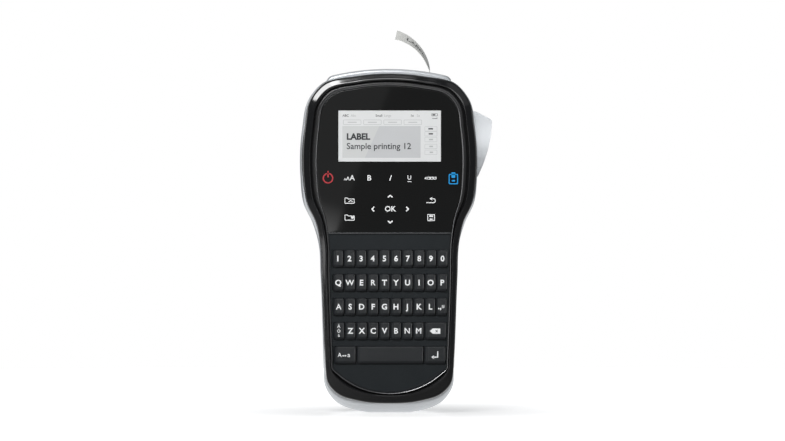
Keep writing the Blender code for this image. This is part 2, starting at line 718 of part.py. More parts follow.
def keys(plastic):
    for row, names in enumerate(KEY_ROWS):
        half_row = key_row_half(row)
        pitch = 2 * half_row / KEY_COLUMNS
        column = 0
        shared = {}
        for name, span in names:
            centre = Vector((-half_row + pitch * (column + span / 2), 0.0, key_row_z(row)))
            column += span
            if span not in shared:
                half_x = (pitch * span - KEY_SPACING) / 2
                made = finish(f"key_{name}", key_mesh(half_x, KEY_HALF_HEIGHT), plastic)
                shared[span] = made.data
            else:
                made = bpy.data.objects.new(f"key_{name}", shared[span])
                bpy.context.scene.collection.objects.link(made)
            made.location = centre * MM


# ---- the whole object ------------------------------------------------------------------------------


def main():
    for old in list(bpy.data.objects):
        bpy.data.objects.remove(old, do_unlink=True)
    gloss = material("gloss_black", (0.012, 0.012, 0.013), 0.12)
    panel = material("panel_black", (0.010, 0.010, 0.010), 0.06)
    slate = material("slate_matte", (0.030, 0.036, 0.040), 0.45)
    key_grey = material("key_grey", (0.045, 0.048, 0.052), 0.40)
    silver = material("silver_paint", (0.62, 0.64, 0.66), 0.30, 0.5)
    lcd_grey = material("lcd_grey", (0.75, 0.77, 0.78), 0.20)
    board_green = material("board_green", (0.02, 0.16, 0.06), 0.45)
    rubber = material("soft_rubber", (0.06, 0.06, 0.06), 0.80)
    wrap = material("battery_wrap", (0.08, 0.10, 0.14), 0.40)
    tape_white = material("tape_white", (0.70, 0.70, 0.68), 0.35)
    cassette_grey = material("cassette_grey", (0.22, 0.22, 0.23), 0.45)
    steel = material("steel", (0.55, 0.55, 0.56), 0.28, 1.0)
    brass = material("brass", (0.70, 0.52, 0.22), 0.30, 1.0)

    front_housing(gloss)
    display_panel(panel)
    keyboard_panel(slate)
    lcd_module(lcd_grey)
    main_board(board_green)
    keypad_mat(rubber)
    rear_housing(silver)
    cassette_cover(silver)
    battery_cover(silver)
    battery_pack(wrap)
    tape_cassette(cassette_grey)
    label_tape(tape_white)
    platen_roller(rubber)
    motor_pinion(brass)
    drive_motor(steel)
    print_head(steel)
    cutter_lever(silver)
    cutter_blade(steel)
    keys(key_grey)


main()
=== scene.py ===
"""Looks of the hand-held label maker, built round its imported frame.

The axes are the frame's: X to the user's right, Y to the back, Z up. Sizes are in millimetres, and MM
scales them to metres as each mesh is made.
"""

import math

import bmesh
import bpy
from mathutils import Matrix, Vector

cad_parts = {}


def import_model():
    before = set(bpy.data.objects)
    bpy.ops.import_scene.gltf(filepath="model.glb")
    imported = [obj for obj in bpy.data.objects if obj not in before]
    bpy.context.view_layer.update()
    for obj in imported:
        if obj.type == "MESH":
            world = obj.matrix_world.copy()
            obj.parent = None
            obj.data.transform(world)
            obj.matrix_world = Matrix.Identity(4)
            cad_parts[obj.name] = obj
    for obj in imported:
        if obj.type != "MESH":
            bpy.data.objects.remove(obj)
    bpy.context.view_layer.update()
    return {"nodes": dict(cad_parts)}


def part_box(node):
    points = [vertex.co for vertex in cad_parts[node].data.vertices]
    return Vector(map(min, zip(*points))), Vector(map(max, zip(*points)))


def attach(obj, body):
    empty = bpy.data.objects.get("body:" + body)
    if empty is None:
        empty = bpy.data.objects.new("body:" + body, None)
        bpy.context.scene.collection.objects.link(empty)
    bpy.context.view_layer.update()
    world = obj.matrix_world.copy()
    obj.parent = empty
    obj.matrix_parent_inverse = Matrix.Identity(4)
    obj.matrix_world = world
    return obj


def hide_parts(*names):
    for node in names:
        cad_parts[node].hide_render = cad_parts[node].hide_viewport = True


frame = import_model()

MM = 0.001


def box_mm(node):
    """Lowest and highest corner of a node, in millimetres."""
    return [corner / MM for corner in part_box(node)]


# Half outlines as seen from the front, from the top centre round to the bottom centre: (x, z) of the
# front casing, of the rear shell and of the edge of the front panels, then the steps to the next point.
OUTLINES = (
    ((0.0, 196.9), (0.0, 197.6), (0.0, 189.9), 3),
    ((20.0, 195.3), (20.3, 196.0), (18.5, 188.4), 3),
    ((38.3, 190.8), (38.9, 191.5), (34.3, 183.8), 4),
    ((46.1, 181.5), (46.9, 182.0), (38.5, 178.5), 2),
    ((49.4, 165.5), (50.3, 166.0), (41.0, 164.9), 3),
    ((50.5, 138.0), (51.4, 138.0), (42.1, 138.0), 2),
    ((47.9, 121.2), (49.3, 121.2), (40.7, 124.0), 2),
    ((42.9, 110.7), (44.4, 110.7), (37.6, 113.8), 2),
    ((39.8, 98.0), (41.0, 98.0), (35.4, 98.6), 3),
    ((38.9, 80.0), (40.0, 80.0), (35.0, 80.0), 5),
    ((37.05, 31.0), (38.35, 31.0), (33.25, 31.0), 1),
    ((36.8, 26.0), (38.2, 26.0), (33.0, 26.0), 2),
    ((35.3, 17.2), (37.3, 14.5), (29.5, 22.7), 3),
    ((30.5, 11.6), (32.9, 7.8), (23.0, 18.0), 3),
    ((17.0, 6.8), (12.0, 0.0), (12.0, 13.3), 2),
    ((0.0, 5.5), (0.0, 0.0), (0.0, 11.7), 1),
)
FRONT, REAR, PANEL = 0, 1, 2
# How much wider each column's outline is along the handle, and the heights over which that fades out
HANDLE_FIT = (0.013, -0.010, 0.0)
HANDLE_FIT_Z = (92.0, 116.0)
FINENESS = 4
BEND_REACH = 8
SHRINK_CENTRE = (51.4, 100.0)

# Depths and heights shared with the frame
CREST_Y = box_mm("front_housing")[0].y
DISPLAY_Y = box_mm("display_panel")[0].y
KEYBOARD_Y = box_mm("keyboard_panel")[0].y
RECESS_Y = box_mm("display_panel")[1].y + 0.25
CEILING_Y = RECESS_Y + 2.0
PARTING_Y = -10.0
PARTING_GAP = 0.3
DECK_Y = (2.5, 4.0)
HANDLE_BACK_Y = 18.5
HEAD_BACK_Y = box_mm("rear_housing")[1].y
HEEL_RISE = 7.5
HEEL_Z = (0.0, 34.0)
SHOULDER_Z = (66.0, 104.0)
WALL = 2.4
CROSS_GAP = 0.3
PANEL_SPLIT_Z = 104.4
PANEL_GAP = 0.25
EDGE_ROUND = 0.35

# The black rim across its width, then the groove and the grey band inside it, as (share, y)
RIM_SHARE_HEAD = 0.62
RIM_SHARE_HANDLE = 0.84
RIM_CHANGE_Z = (96.0, 124.0)
RIM_CURVE = ((0.0, -20.5), (0.05, -22.1), (0.16, -22.95), (0.36, -23.3), (0.56, -23.63), (0.75, -23.93),
             (0.84, CREST_Y), (0.93, -23.6), (0.98, -22.6), (1.0, -22.0))
BAND_CURVE = ((0.05, -21.9), (0.12, -22.25), (0.30, -22.8), (0.42, -23.0), (0.7, -23.1), (0.92, -23.1),
              (1.0, -22.9))

LCD_CENTRE_Z = 160.6
LCD_HALF = (29.7, 14.8)
LCD_FACE_Y = box_mm("lcd_module")[0].y
INK = 0.03
USB_Z = 150.0

KEY_FACE_Y = box_mm("key_1")[0].y
KEY_BOTTOM_Y = box_mm("key_1")[1].y
KEY_HALF_HEIGHT = 4.9
KEY_LEFT_SLOPE = 2.4
KEY_LOWER_SLOPE = 1.7
KEY_SLOPE_DROP = 1.25
KEY_SLOPE_POWER = 1.7
KEY_FACET = 0.5
KEY_FACET_SLOPE = 0.7
KEY_LARGEST_DROP = 1.35

SMOOTH_ANGLE = math.radians(32)


# ---- shapes in the front plane ----


def smooth_curve(points, steps, closed):
    """Points along a smooth curve through the given ones, each span in its own number of steps."""
    count = len(points)
    points = [Vector(p) for p in points]
    spans = [max((points[(i + 1) % count] - points[i]).length, 1e-6) for i in range(count)]
    slopes = []
    for i in range(count):
        into = (points[i] - points[i - 1]) / spans[i - 1]
        out = (points[(i + 1) % count] - points[i]) / spans[i]
        if not closed and i == 0:
            into = out
        if not closed and i == count - 1:
            out = into
        slopes.append((into * spans[i] + out * spans[i - 1]) / (spans[i] + spans[i - 1]))
    curve = []
    for i in range(count if closed else count - 1):
        after = (i + 1) % count
        for j in range(steps[i]):
            t = j / steps[i]
            here = points[i] * (2 * t**3 - 3 * t**2 + 1) + points[after] * (3 * t**2 - 2 * t**3)
            turn = slopes[i] * (t**3 - 2 * t**2 + t) + slopes[after] * (t**3 - t**2)
            curve.append(here + turn * spans[i])
    return curve if closed else curve + [points[-1]]


def outline(column):
    """One column of OUTLINES as a closed loop, clockwise from the top centre, the left side mirrored."""
    right = [row[column] for row in OUTLINES]
    left = [(-x, z) for x, z in right[-2:0:-1]]
    steps = [row[-1] * FINENESS for row in OUTLINES[:-1]]
    loop = smooth_curve(right + left, steps + steps[::-1], closed=True)
    widening = [1 + HANDLE_FIT[column] * (1 - rise(p.y, HANDLE_FIT_Z)) for p in loop]
    return [Vector((p.x * wider, max(p.y, 0.0))) for p, wider in zip(loop, widening)]


def inset(loop, distance, reach=1):
    """The loop moved inwards; clockwise loops have their inside on the right.

    The direction at a point comes from its neighbours this many steps away, so a larger reach turns
    a kink into a gentle bend that can be moved far without crossing itself.
    """
    moved = []
    for i, point in enumerate(loop):
        along = (loop[(i + reach) % len(loop)] - loop[i - reach]).normalized()
        moved.append(point + Vector((along.y, -along.x)) * distance)
    return moved


def shrunk(loop, distance):
    """The loop scaled towards the middle of the handle, which never makes it cross itself."""
    share_x, share_z = 1 - distance / SHRINK_CENTRE[0], 1 - distance / SHRINK_CENTRE[1]
    return [Vector((p.x * share_x, SHRINK_CENTRE[1] + (p.y - SHRINK_CENTRE[1]) * share_z)) for p in loop]


def keep_side(loop, z, above):
    """The part of a loop above or below the height z, closed by a straight edge there."""
    kept = []
    for i, here in enumerate(loop):
        after = loop[(i + 1) % len(loop)]
        if (here.y > z) == above:
            kept.append(here)
        if (here.y > z) != (after.y > z):
            kept.append(here.lerp(after, (z - here.y) / (after.y - here.y)))
    return kept


def rounded_rectangle(x_range, z_range, radius, steps=6):
    """A clockwise rectangle with round corners."""
    loop = []
    for right, top, start in ((1, 1, 90), (1, 0, 0), (0, 0, -90), (0, 1, -180)):
        x = x_range[right] + (-radius if right else radius)
        z = z_range[top] + (-radius if top else radius)
        for i in range(steps + 1):
            angle = math.radians(start - 90 * i / steps)
            loop.append(Vector((x + radius * math.cos(angle), z + radius * math.sin(angle))))
    return loop


def arc(centre, radius, start, end, steps=24):
    """Points of an arc between two angles in degrees."""
    points = []
    for i in range(steps + 1):
        angle = math.radians(start + (end - start) * i / steps)
        points.append(Vector((centre[0] + radius * math.cos(angle), centre[1] + radius * math.sin(angle))))
    return points


def circle(centre, radius, steps=48):
    return arc(centre, radius, 0, -360, steps)[:-1]


def stroke(points, width):
    """The outline of a line of that width along an open path."""
    points = [Vector(p) for p in points]
    sides = ([], [])
    for i, point in enumerate(points):
        before, after = points[max(i - 1, 0)], points[min(i + 1, len(points) - 1)]
        normals = []
        for start, end in ((before, point), (point, after)):
            along = (end - start).normalized()
            if along.length:
                normals.append(Vector((-along.y, along.x)))
        miter = sum(normals, Vector((0.0, 0.0))) / len(normals)
        miter /= max(miter.length_squared, 0.35)
        for side, sign in zip(sides, (0.5, -0.5)):
            side.append(point + miter * width * sign)
    return sides[0] + sides[1][::-1]


def rise(z, span):
    """0 below a span of heights, 1 above it and an eased step between."""
    share = min(max((z - span[0]) / (span[1] - span[0]), 0.0), 1.0)
    return share * share * (3 - 2 * share)


def back_y(z):
    """Depth of the back surface: deep at the head, slim along the handle and a little deeper at the heel."""
    return (HANDLE_BACK_Y + (HEAD_BACK_Y - HANDLE_BACK_Y) * rise(z, SHOULDER_Z)
            + HEEL_RISE * (1 - rise(z, HEEL_Z)))


def rim_share(z):
    return RIM_SHARE_HANDLE + (RIM_SHARE_HEAD - RIM_SHARE_HANDLE) * rise(z, RIM_CHANGE_Z)


# ---- meshes ----


def at_depth(loop, y):
    """A loop of the front plane as points in space; y is a depth, or a function of z."""
    depth = y if callable(y) else lambda z: y
    return [Vector((p.x, depth(p.y), p.y)) for p in loop]


def add_loop(mesh, points):
    return [mesh.verts.new(point * MM) for point in points]


def bridge(mesh, first, second, material=0):
    """Faces between two closed loops of vertices."""
    for i in range(len(first)):
        after = (i + 1) % len(first)
        mesh.faces.new((first[i], first[after], second[after], second[i])).material_index = material


def loft(rows, paired_caps=False, slots=None):
    """A closed mesh through loops of equal length; slots gives a material index for each span of rows.

    Paired caps join left and right points in strips, for a cap that isn't flat.
    """
    mesh = bmesh.new()
    verts = [add_loop(mesh, row) for row in rows]
    for number, (lower, upper) in enumerate(zip(verts, verts[1:])):
        bridge(mesh, lower, upper, slots[number] if slots else 0)
    count = len(rows[0])
    for row, points in ((verts[0], rows[0]), (verts[-1], rows[-1])):
        if not paired_caps:
            mesh.faces.new(row)
            continue
        lowest = min(p.z for p in points)
        foot = max(i for i in range(count // 2) if points[i].z > lowest + 0.05)
        for i in range(foot):
            mesh.faces.new(dict.fromkeys((row[i], row[i + 1], row[-i - 1], row[-i % count])))
        mesh.faces.new(row[foot : count - foot + 1])
    return outward(mesh)


def prism(loop, y_range):
    return loft([at_depth(loop, y) for y in y_range])


def round_edge(steps):
    """(inset, depth) of points round an edge of radius 1, from its face to its side."""
    turns = [math.pi / 2 * i / steps for i in range(steps + 1)]
    return [(1 - math.sin(turn), 1 - math.cos(turn)) for turn in turns]


def rounded_prism(loop, y_range, radius, steps=3):
    """A plate whose edges are rounded on both sides."""
    low, high = y_range
    rims = [(inset(loop, radius * inwards), radius * depth) for inwards, depth in round_edge(steps)]
    return loft([at_depth(rim, low + depth) for rim, depth in rims]
                + [at_depth(rim, high - depth) for rim, depth in reversed(rims)])


def tube(loops):
    """A closed mesh through loops of points in space, the last joined to the first."""
    mesh = bmesh.new()
    verts = [add_loop(mesh, loop) for loop in loops]
    for number, lower in enumerate(verts):
        bridge(mesh, lower, verts[(number + 1) % len(verts)])
    return outward(mesh)


def box(x_range, y_range, z_range):
    corners = [Vector((x_range[i], z_range[j])) for i, j in ((0, 1), (1, 1), (1, 0), (0, 0))]
    return prism(corners, y_range)


def outward(mesh):
    bmesh.ops.recalc_face_normals(mesh, faces=mesh.faces)
    return mesh


def linked(name, data):
    """A new object in the scene; a bmesh becomes its mesh."""
    if isinstance(data, bmesh.types.BMesh):
        mesh, data = data, bpy.data.meshes.new(name)
        mesh.to_mesh(data)
        mesh.free()
    made = bpy.data.objects.new(name, data)
    bpy.context.scene.collection.objects.link(made)
    return made


def soft_shading(target):
    """Smooth shading with sharp corners; large flat faces keep their shading beside small round edges."""
    target.data.shade_smooth()
    target.data.set_sharp_from_angle(angle=SMOOTH_ANGLE)
    even = target.modifiers.new("even shading", "WEIGHTED_NORMAL")
    even.keep_sharp = True
    even.weight = 90


def piece(name, mesh, finishes, body="housing", replaces=()):
    """A shown piece made of this mesh, with the named finishes, riding on a body of the frame."""
    made = linked(name, mesh)
    for finish in finishes.split():
        made.data.materials.append(FINISHES[finish])
    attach(made, body)
    soft_shading(made)
    if replaces:
        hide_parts(*replaces)
    return made


def combine(target, operation, *meshes):
    """Cuts the helper meshes from the target, or joins them to it, and keeps only the result."""
    target.modifiers.remove(target.modifiers["even shading"])
    for mesh in meshes:
        helper = linked("helper", mesh)
        helper.data.materials.append(target.data.materials[0])
        modifier = target.modifiers.new("combine", "BOOLEAN")
        modifier.operation = operation
        modifier.solver = "EXACT"
        modifier.object = helper
        bpy.context.view_layer.update()
        result = bpy.data.meshes.new_from_object(target.evaluated_get(bpy.context.evaluated_depsgraph_get()))
        target.modifiers.remove(modifier)
        target.data = result
        bpy.data.objects.remove(helper)
    soft_shading(target)


def carve(target, *meshes):
    combine(target, "DIFFERENCE", *meshes)


def round_edges(target, width, segments, degrees):
    """Rounds the edges that turn by more than this angle."""
    bevel = target.modifiers.new("round edges", "BEVEL")
    bevel.width = width * MM
    bevel.segments = segments
    bevel.limit_method = "ANGLE"
    bevel.angle_limit = math.radians(degrees)


def refine(mesh, longest):
    """Splits the mesh until no edge is much longer than this, so that it can follow a curved surface."""
    bmesh.ops.triangulate(mesh, faces=mesh.faces)
    for _ in range(3):
        edges = [edge for edge in mesh.edges if edge.calc_length() > longest * MM]
        if edges:
            bmesh.ops.subdivide_edges(mesh, edges=edges, cuts=1)
            bmesh.ops.triangulate(mesh, faces=mesh.faces)


def ink_mesh(curve, at, face_y, dip=None):
    """A filled curve or text as a thin mesh on the front of a face; dip(x, z) lowers it with the surface."""
    holder = linked("ink", curve)
    bpy.context.view_layer.update()
    data = bpy.data.meshes.new_from_object(holder.evaluated_get(bpy.context.evaluated_depsgraph_get()))
    bpy.data.objects.remove(holder)
    mesh = bmesh.new()
    mesh.from_mesh(data)
    bmesh.ops.remove_doubles(mesh, verts=mesh.verts, dist=1e-7)
    if dip:
        refine(mesh, 0.6)
    for vert in mesh.verts:
        x, z, lift = vert.co.x / MM, vert.co.y / MM, vert.co.z / MM + INK / 2
        y = face_y - lift + (dip(x, z) if dip else 0.0)
        vert.co = Vector((at[0] + x, y, at[1] + z)) * MM
    return outward(mesh)


def lettering(words, size, weight=0.0, slant=0.0):
    """Words as a text curve, centred on the origin."""
    curve = bpy.data.curves.new("ink", "FONT")
    curve.body = words
    curve.size = size * MM
    curve.offset = weight * size * MM
    curve.shear = slant
    curve.align_x, curve.align_y = "CENTER", "CENTER"
    curve.extrude = INK / 2 * MM
    curve.resolution_u = 3
    return curve


def drawing(loops):
    """Filled loops as a flat curve; a loop inside another is a hole."""
    curve = bpy.data.curves.new("ink", "CURVE")
    curve.dimensions = "2D"
    curve.fill_mode = "BOTH"
    curve.extrude = INK / 2 * MM
    for loop in loops:
        spline = curve.splines.new("POLY")
        spline.points.add(len(loop) - 1)
        for point, place in zip(spline.points, loop):
            point.co = (place[0] * MM, place[1] * MM, 0.0, 1.0)
        spline.use_cyclic_u = True
    return curve


def rounded_corners(points, radius, steps=5):
    """A loop whose corners are rounded off, each over that distance along its sides."""
    points = [Vector(p) for p in points]
    loop = []
    for i, corner in enumerate(points):
        before, after = points[i - 1], points[(i + 1) % len(points)]
        reach = min(radius, (before - corner).length * 0.45, (after - corner).length * 0.45)
        start = corner + (before - corner).normalized() * reach
        end = corner + (after - corner).normalized() * reach
        for j in range(steps + 1):
            t = j / steps
            loop.append(start * (1 - t) ** 2 + corner * 2 * t * (1 - t) + end * t**2)
    return loop


# ---- materials ----


def add(tree, kind, **values):
    """A shader node; values go to its input sockets, with _ for each space in a socket's name."""
    node = tree.nodes.new("ShaderNode" + kind)
    for name, value in values.items():
        node.inputs[name.replace("_", " ")].default_value = value
    return node


def join(tree, *pairs):
    """Links outputs to inputs, each pair as (node, output's name), (node, input's name or number)."""
    for (source, output), (target, socket) in pairs:
        tree.links.new(source.outputs[output], target.inputs[socket])


def blank_material(name):
    """A new material and its node tree."""
    made = bpy.data.materials.new(name)
    made.use_nodes = True
    return made, made.node_tree


GRAIN_DEPTH = 0.0001
DRIFT_SCALE = 70.0
ROUGHNESS_SPREAD = 0.15


def surface(name, color, roughness, metallic=0.0, coat=0.0, grain=2600.0, relief=0.05, mottle=0.06,
            stretch=(1.0, 1.0, 1.0), shine=0.5):
    """A finish with fine grain in its relief and roughness, and a slow drift in its colour."""
    made, tree = blank_material(name)
    shader = tree.nodes["Principled BSDF"]
    for socket, value in (("Metallic", metallic), ("Coat Weight", coat), ("Coat Roughness", 0.03),
                          ("Specular IOR Level", shine)):
        shader.inputs[socket].default_value = value
    place, scaled = add(tree, "TexCoord"), add(tree, "Mapping", Scale=stretch)
    drift = add(tree, "TexNoise", Scale=DRIFT_SCALE, Detail=4.0)
    fine = add(tree, "TexNoise", Scale=grain, Detail=3.0)
    tint = add(tree, "ValToRGB")
    for stop, position, share in zip(tint.color_ramp.elements, (0.3, 0.7), (1 - mottle, 1 + mottle)):
        stop.position = position
        stop.color = (*(min(c * share, 1.0) for c in color), 1.0)
    gloss = add(tree, "MapRange", To_Min=roughness * (1 - ROUGHNESS_SPREAD),
                To_Max=min(roughness * (1 + ROUGHNESS_SPREAD), 1.0))
    bump = add(tree, "Bump", Strength=relief, Distance=GRAIN_DEPTH)
    join(tree, ((place, "Object"), (scaled, "Vector")), ((scaled, "Vector"), (drift, "Vector")),
         ((scaled, "Vector"), (fine, "Vector")), ((drift, "Fac"), (tint, "Fac")),
         ((tint, "Color"), (shader, "Base Color")), ((fine, "Fac"), (gloss, "Value")),
         ((gloss, "Result"), (shader, "Roughness")), ((fine, "Fac"), (bump, "Height")),
         ((bump, "Normal"), (shader, "Normal")))
    return made


def display_tone(name, color):
    return surface(name, color, 0.35, coat=0.6, grain=5000.0, relief=0.01, mottle=0.01)


FINISHES = {
    "gloss": surface("gloss_black", (0.006, 0.006, 0.0065), 0.10, coat=0.25, grain=500.0, relief=0.01),
    "satin": surface("satin_grey", (0.012, 0.012, 0.0125), 0.26, relief=0.04),
    "panel": surface("panel_black", (0.0055, 0.0054, 0.0050), 0.02, coat=0.3, grain=300.0, relief=0.0),
    # A light metallic grey for the ring round the panels: a real ring, its lightness partly a painted
    # highlight on the panels' edge.
    "bezel": surface("satin_bezel_and_painted_highlight", (0.16, 0.16, 0.165), 0.22, metallic=0.6, relief=0.02),
    "trim": surface("satin_trim", (0.11, 0.115, 0.12), 0.28, relief=0.03),
    "slate": surface("slate_matte", (0.0135, 0.0168, 0.0192), 0.38, grain=4200.0, relief=0.10, shine=0.22),
    "key": surface("key_plastic", (0.0125, 0.0145, 0.0167), 0.30, grain=3600.0, relief=0.08),
    "silver": surface("silver_paint", (0.56, 0.58, 0.60), 0.30, metallic=0.55, coat=0.25, grain=5200.0,
                      relief=0.07, mottle=0.02),
    "lever": surface("lever_paint", (0.62, 0.64, 0.66), 0.28, metallic=0.75, coat=0.25, grain=5200.0,
                     relief=0.05, mottle=0.02),
    "white_ink": surface("white_ink", (0.97, 0.98, 0.98), 0.45, relief=0.02, mottle=0.02),
    "red_ink": surface("red_ink", (0.50, 0.032, 0.042), 0.40, relief=0.02, mottle=0.03),
    "blue_ink": surface("blue_ink", (0.0, 0.34, 0.80), 0.40, relief=0.02, mottle=0.03),
    "lcd_white": display_tone("lcd_white", (0.79, 0.80, 0.80)),
    "lcd_zone": display_tone("lcd_zone", (0.595, 0.605, 0.615)),
    # A lighter grey for the part of the zone left of a slanted edge: a painted reflection.
    "lcd_zone_light": display_tone("lcd_zone_light", (0.655, 0.665, 0.66)),
    "lcd_faint": display_tone("lcd_faint", (0.50, 0.51, 0.51)),
    "lcd_dark": display_tone("lcd_dark", (0.035, 0.038, 0.042)),
    "board": surface("board_green", (0.018, 0.13, 0.05), 0.40, coat=0.3, grain=1500.0),
    "chip": surface("chip_black", (0.02, 0.02, 0.021), 0.50, grain=3000.0, relief=0.1),
    "rubber": surface("soft_rubber", (0.05, 0.05, 0.052), 0.75, grain=2500.0, relief=0.2),
    "wrap": surface("battery_wrap", (0.05, 0.07, 0.12), 0.28, coat=0.4, grain=400.0, relief=0.08),
    "cassette": surface("cassette_grey", (0.16, 0.16, 0.17), 0.42, grain=3000.0, relief=0.15),
    "window": surface("cassette_window", (0.30, 0.31, 0.33), 0.12, coat=0.6, grain=300.0, relief=0.01),
    "tape": surface("tape_laminate", (0.74, 0.74, 0.71), 0.30, coat=0.35, grain=1800.0, relief=0.03,
                    mottle=0.03),
    "tape_ink": surface("tape_ink", (0.09, 0.09, 0.09), 0.35, relief=0.02),
    "steel": surface("brushed_steel", (0.52, 0.52, 0.53), 0.26, metallic=1.0, grain=900.0, relief=0.06,
                     stretch=(6.0, 0.4, 1.0)),
    "brass": surface("brass", (0.68, 0.48, 0.18), 0.28, metallic=1.0, grain=1500.0),
    "gold": surface("gold_contact", (0.80, 0.58, 0.24), 0.22, metallic=1.0, grain=1500.0, relief=0.03),
    "dark_metal": surface("blackened_screw", (0.10, 0.10, 0.11), 0.35, metallic=0.9, grain=1800.0,
                          relief=0.08),
    "paper": surface("blank_paper", (0.66, 0.66, 0.63), 0.55, grain=1500.0, relief=0.08, mottle=0.03),
}


# ---- front ----


def node_openings(nodes, y_range, clearance):
    """One cutter round these nodes, wide enough to leave a gap all round."""
    lows, highs = zip(*(box_mm(node) for node in nodes))
    x_range = (min(low.x for low in lows) - clearance, max(high.x for high in highs) + clearance)
    z = (lows[0].z + highs[0].z) / 2
    half = KEY_HALF_HEIGHT + clearance
    return box(x_range, y_range, (z - half, z + half))


KEY_ROWS = (
    [f"key_{c}" for c in "1234567890"],
    [f"key_{c}" for c in "qwertyuiop"],
    [f"key_{c}" for c in "asdfghjkl"] + ["key_symbol"],
    ["key_accent"] + [f"key_{c}" for c in "zxcvbnm"] + ["key_backspace"],
    ["key_caps", "key_space", "key_enter"],
)


def lcd_opening(y_range, clearance):
    half_x, half_z = LCD_HALF[0] + clearance, LCD_HALF[1] + clearance
    return box((-half_x, half_x), y_range, (LCD_CENTRE_Z - half_z, LCD_CENTRE_Z + half_z))


# Steps of the casing's back edge towards the front, as (inset, distance)
CASING_LIP = ((0.3, 0.0), (0.09, 0.09), (0.0, 0.3))
USB_NOTCH_HALF = 4.6


def rim_loop(casing, panel, rim, band=0.0):
    """The loop at these shares of the way across the rim, then across the band inside it."""
    loop = []
    for outer, inner in zip(casing, panel):
        across = rim_share(outer.y)
        loop.append(outer.lerp(inner, rim * across + band * (1 - across)))
    return loop


def front_casing():
    """The black front casing, its glossy rim and the grey band inside the rim."""
    casing, panel = outline(FRONT), outline(PANEL)
    edge_y = PARTING_Y - PARTING_GAP / 2
    wall = inset(casing, WALL)
    rim = smooth_curve(RIM_CURVE, [3] * (len(RIM_CURVE) - 1), closed=False)
    band = smooth_curve(BAND_CURVE, [2] * (len(BAND_CURVE) - 1), closed=False)
    rows = [at_depth(wall, CEILING_Y), at_depth(wall, edge_y)]
    rows += [at_depth(inset(casing, inwards), edge_y - forwards) for inwards, forwards in CASING_LIP]
    rows += [at_depth(rim_loop(casing, panel, share), y) for share, y in rim]
    rows += [at_depth(rim_loop(casing, panel, 1.0, share), y) for share, y in band]
    rows.append(at_depth(panel, RECESS_Y))
    slots = [0] * (len(rows) - len(band) - 2) + [1] * (len(band) + 1)
    mesh = loft(rows, paired_caps=True, slots=slots)
    made = piece("front_casing", mesh, "gloss satin", replaces=["front_housing"])
    through = (CEILING_Y + 1.0, RECESS_Y - 1.0)
    notch = box((-55.0, -40.0), (-13.8, PARTING_Y + 1.0), (USB_Z - USB_NOTCH_HALF, USB_Z + USB_NOTCH_HALF))
    carve(made, lcd_opening(through, 0.4), notch)
    carve(made, *(node_openings(row, through, 0.3) for row in KEY_ROWS))


def plate(name, edge, face_y, finish, node, cutters):
    """A panel in the recess, with a round edge towards the front."""
    rows = [at_depth(edge, RECESS_Y - PANEL_GAP)]
    for inwards, depth in reversed(round_edge(3)):
        rows.append(at_depth(inset(edge, EDGE_ROUND * inwards), face_y + EDGE_ROUND * depth))
    made = piece(name, loft(rows), finish, replaces=[node])
    carve(made, *cutters)
    return made


# The bright line round the panels, a ring whose light grey is partly a painted highlight, as (inset, y) of
# its section, and the thin strip between them
BEZEL_SECTION = ((-0.60, -22.7), (-0.52, -23.15), (-0.30, -23.32), (-0.05, -23.2), (-0.05, -22.7))
TRIM_HALF = 0.22


def panels():
    edge = inset(outline(PANEL), PANEL_GAP)
    upper = keep_side(edge, PANEL_SPLIT_Z + PANEL_GAP, above=True)
    lower = keep_side(edge, PANEL_SPLIT_Z - PANEL_GAP, above=False)
    through = (RECESS_Y + 1.0, DISPLAY_Y - 1.0)
    plate("display_overlay", upper, DISPLAY_Y, "panel", "display_panel",
          [lcd_opening(through, 0.12)])
    edge = outline(PANEL)
    # The ring round the panels: its light grey stands partly for a highlight on the edge, a painted
    # highlight.
    piece("panel_bezel", tube([at_depth(inset(edge, out), y) for out, y in BEZEL_SECTION]), "bezel")
    half = max(p.x for p in lower if p.y > PANEL_SPLIT_Z - 1.0) - 0.3
    trim_z = (PANEL_SPLIT_Z - TRIM_HALF, PANEL_SPLIT_Z + TRIM_HALF)
    trim = rounded_rectangle((-half, half), trim_z, 0.2, 3)
    piece("panel_trim", rounded_prism(trim, (DISPLAY_Y - 0.05, RECESS_Y - PANEL_GAP), 0.12, 2), "trim")
    plate("keyboard_plate", lower, KEYBOARD_Y, "slate", "keyboard_panel",
          [node_openings(row, through, 0.25) for row in KEY_ROWS])


# ---- keys ----


def key_drop(x, z, half_x):
    """Depth of a key's top below its crest: long slopes left and below, narrow facets elsewhere."""
    left = max(0.0, 1 - (x + half_x) / KEY_LEFT_SLOPE)
    lower = max(0.0, 1 - (z + KEY_HALF_HEIGHT) / KEY_LOWER_SLOPE)
    facet = max(0.0, KEY_FACET - (half_x - x), KEY_FACET - (KEY_HALF_HEIGHT - z))
    slope = KEY_SLOPE_DROP * (left**KEY_SLOPE_POWER + 0.5 * lower**KEY_SLOPE_POWER)
    return min(slope + KEY_FACET_SLOPE * facet, KEY_LARGEST_DROP)


def key_steps(half, slope, slope_steps):
    """Places across a key: close together on its slope and its facet, wide apart between them."""
    steps = []
    for low, high, count in ((-half, slope - half, slope_steps), (slope - half, half - KEY_FACET, 4),
                             (half - KEY_FACET, half, 2)):
        steps += [low + (high - low) * i / count for i in range(count)]
    return steps + [half]


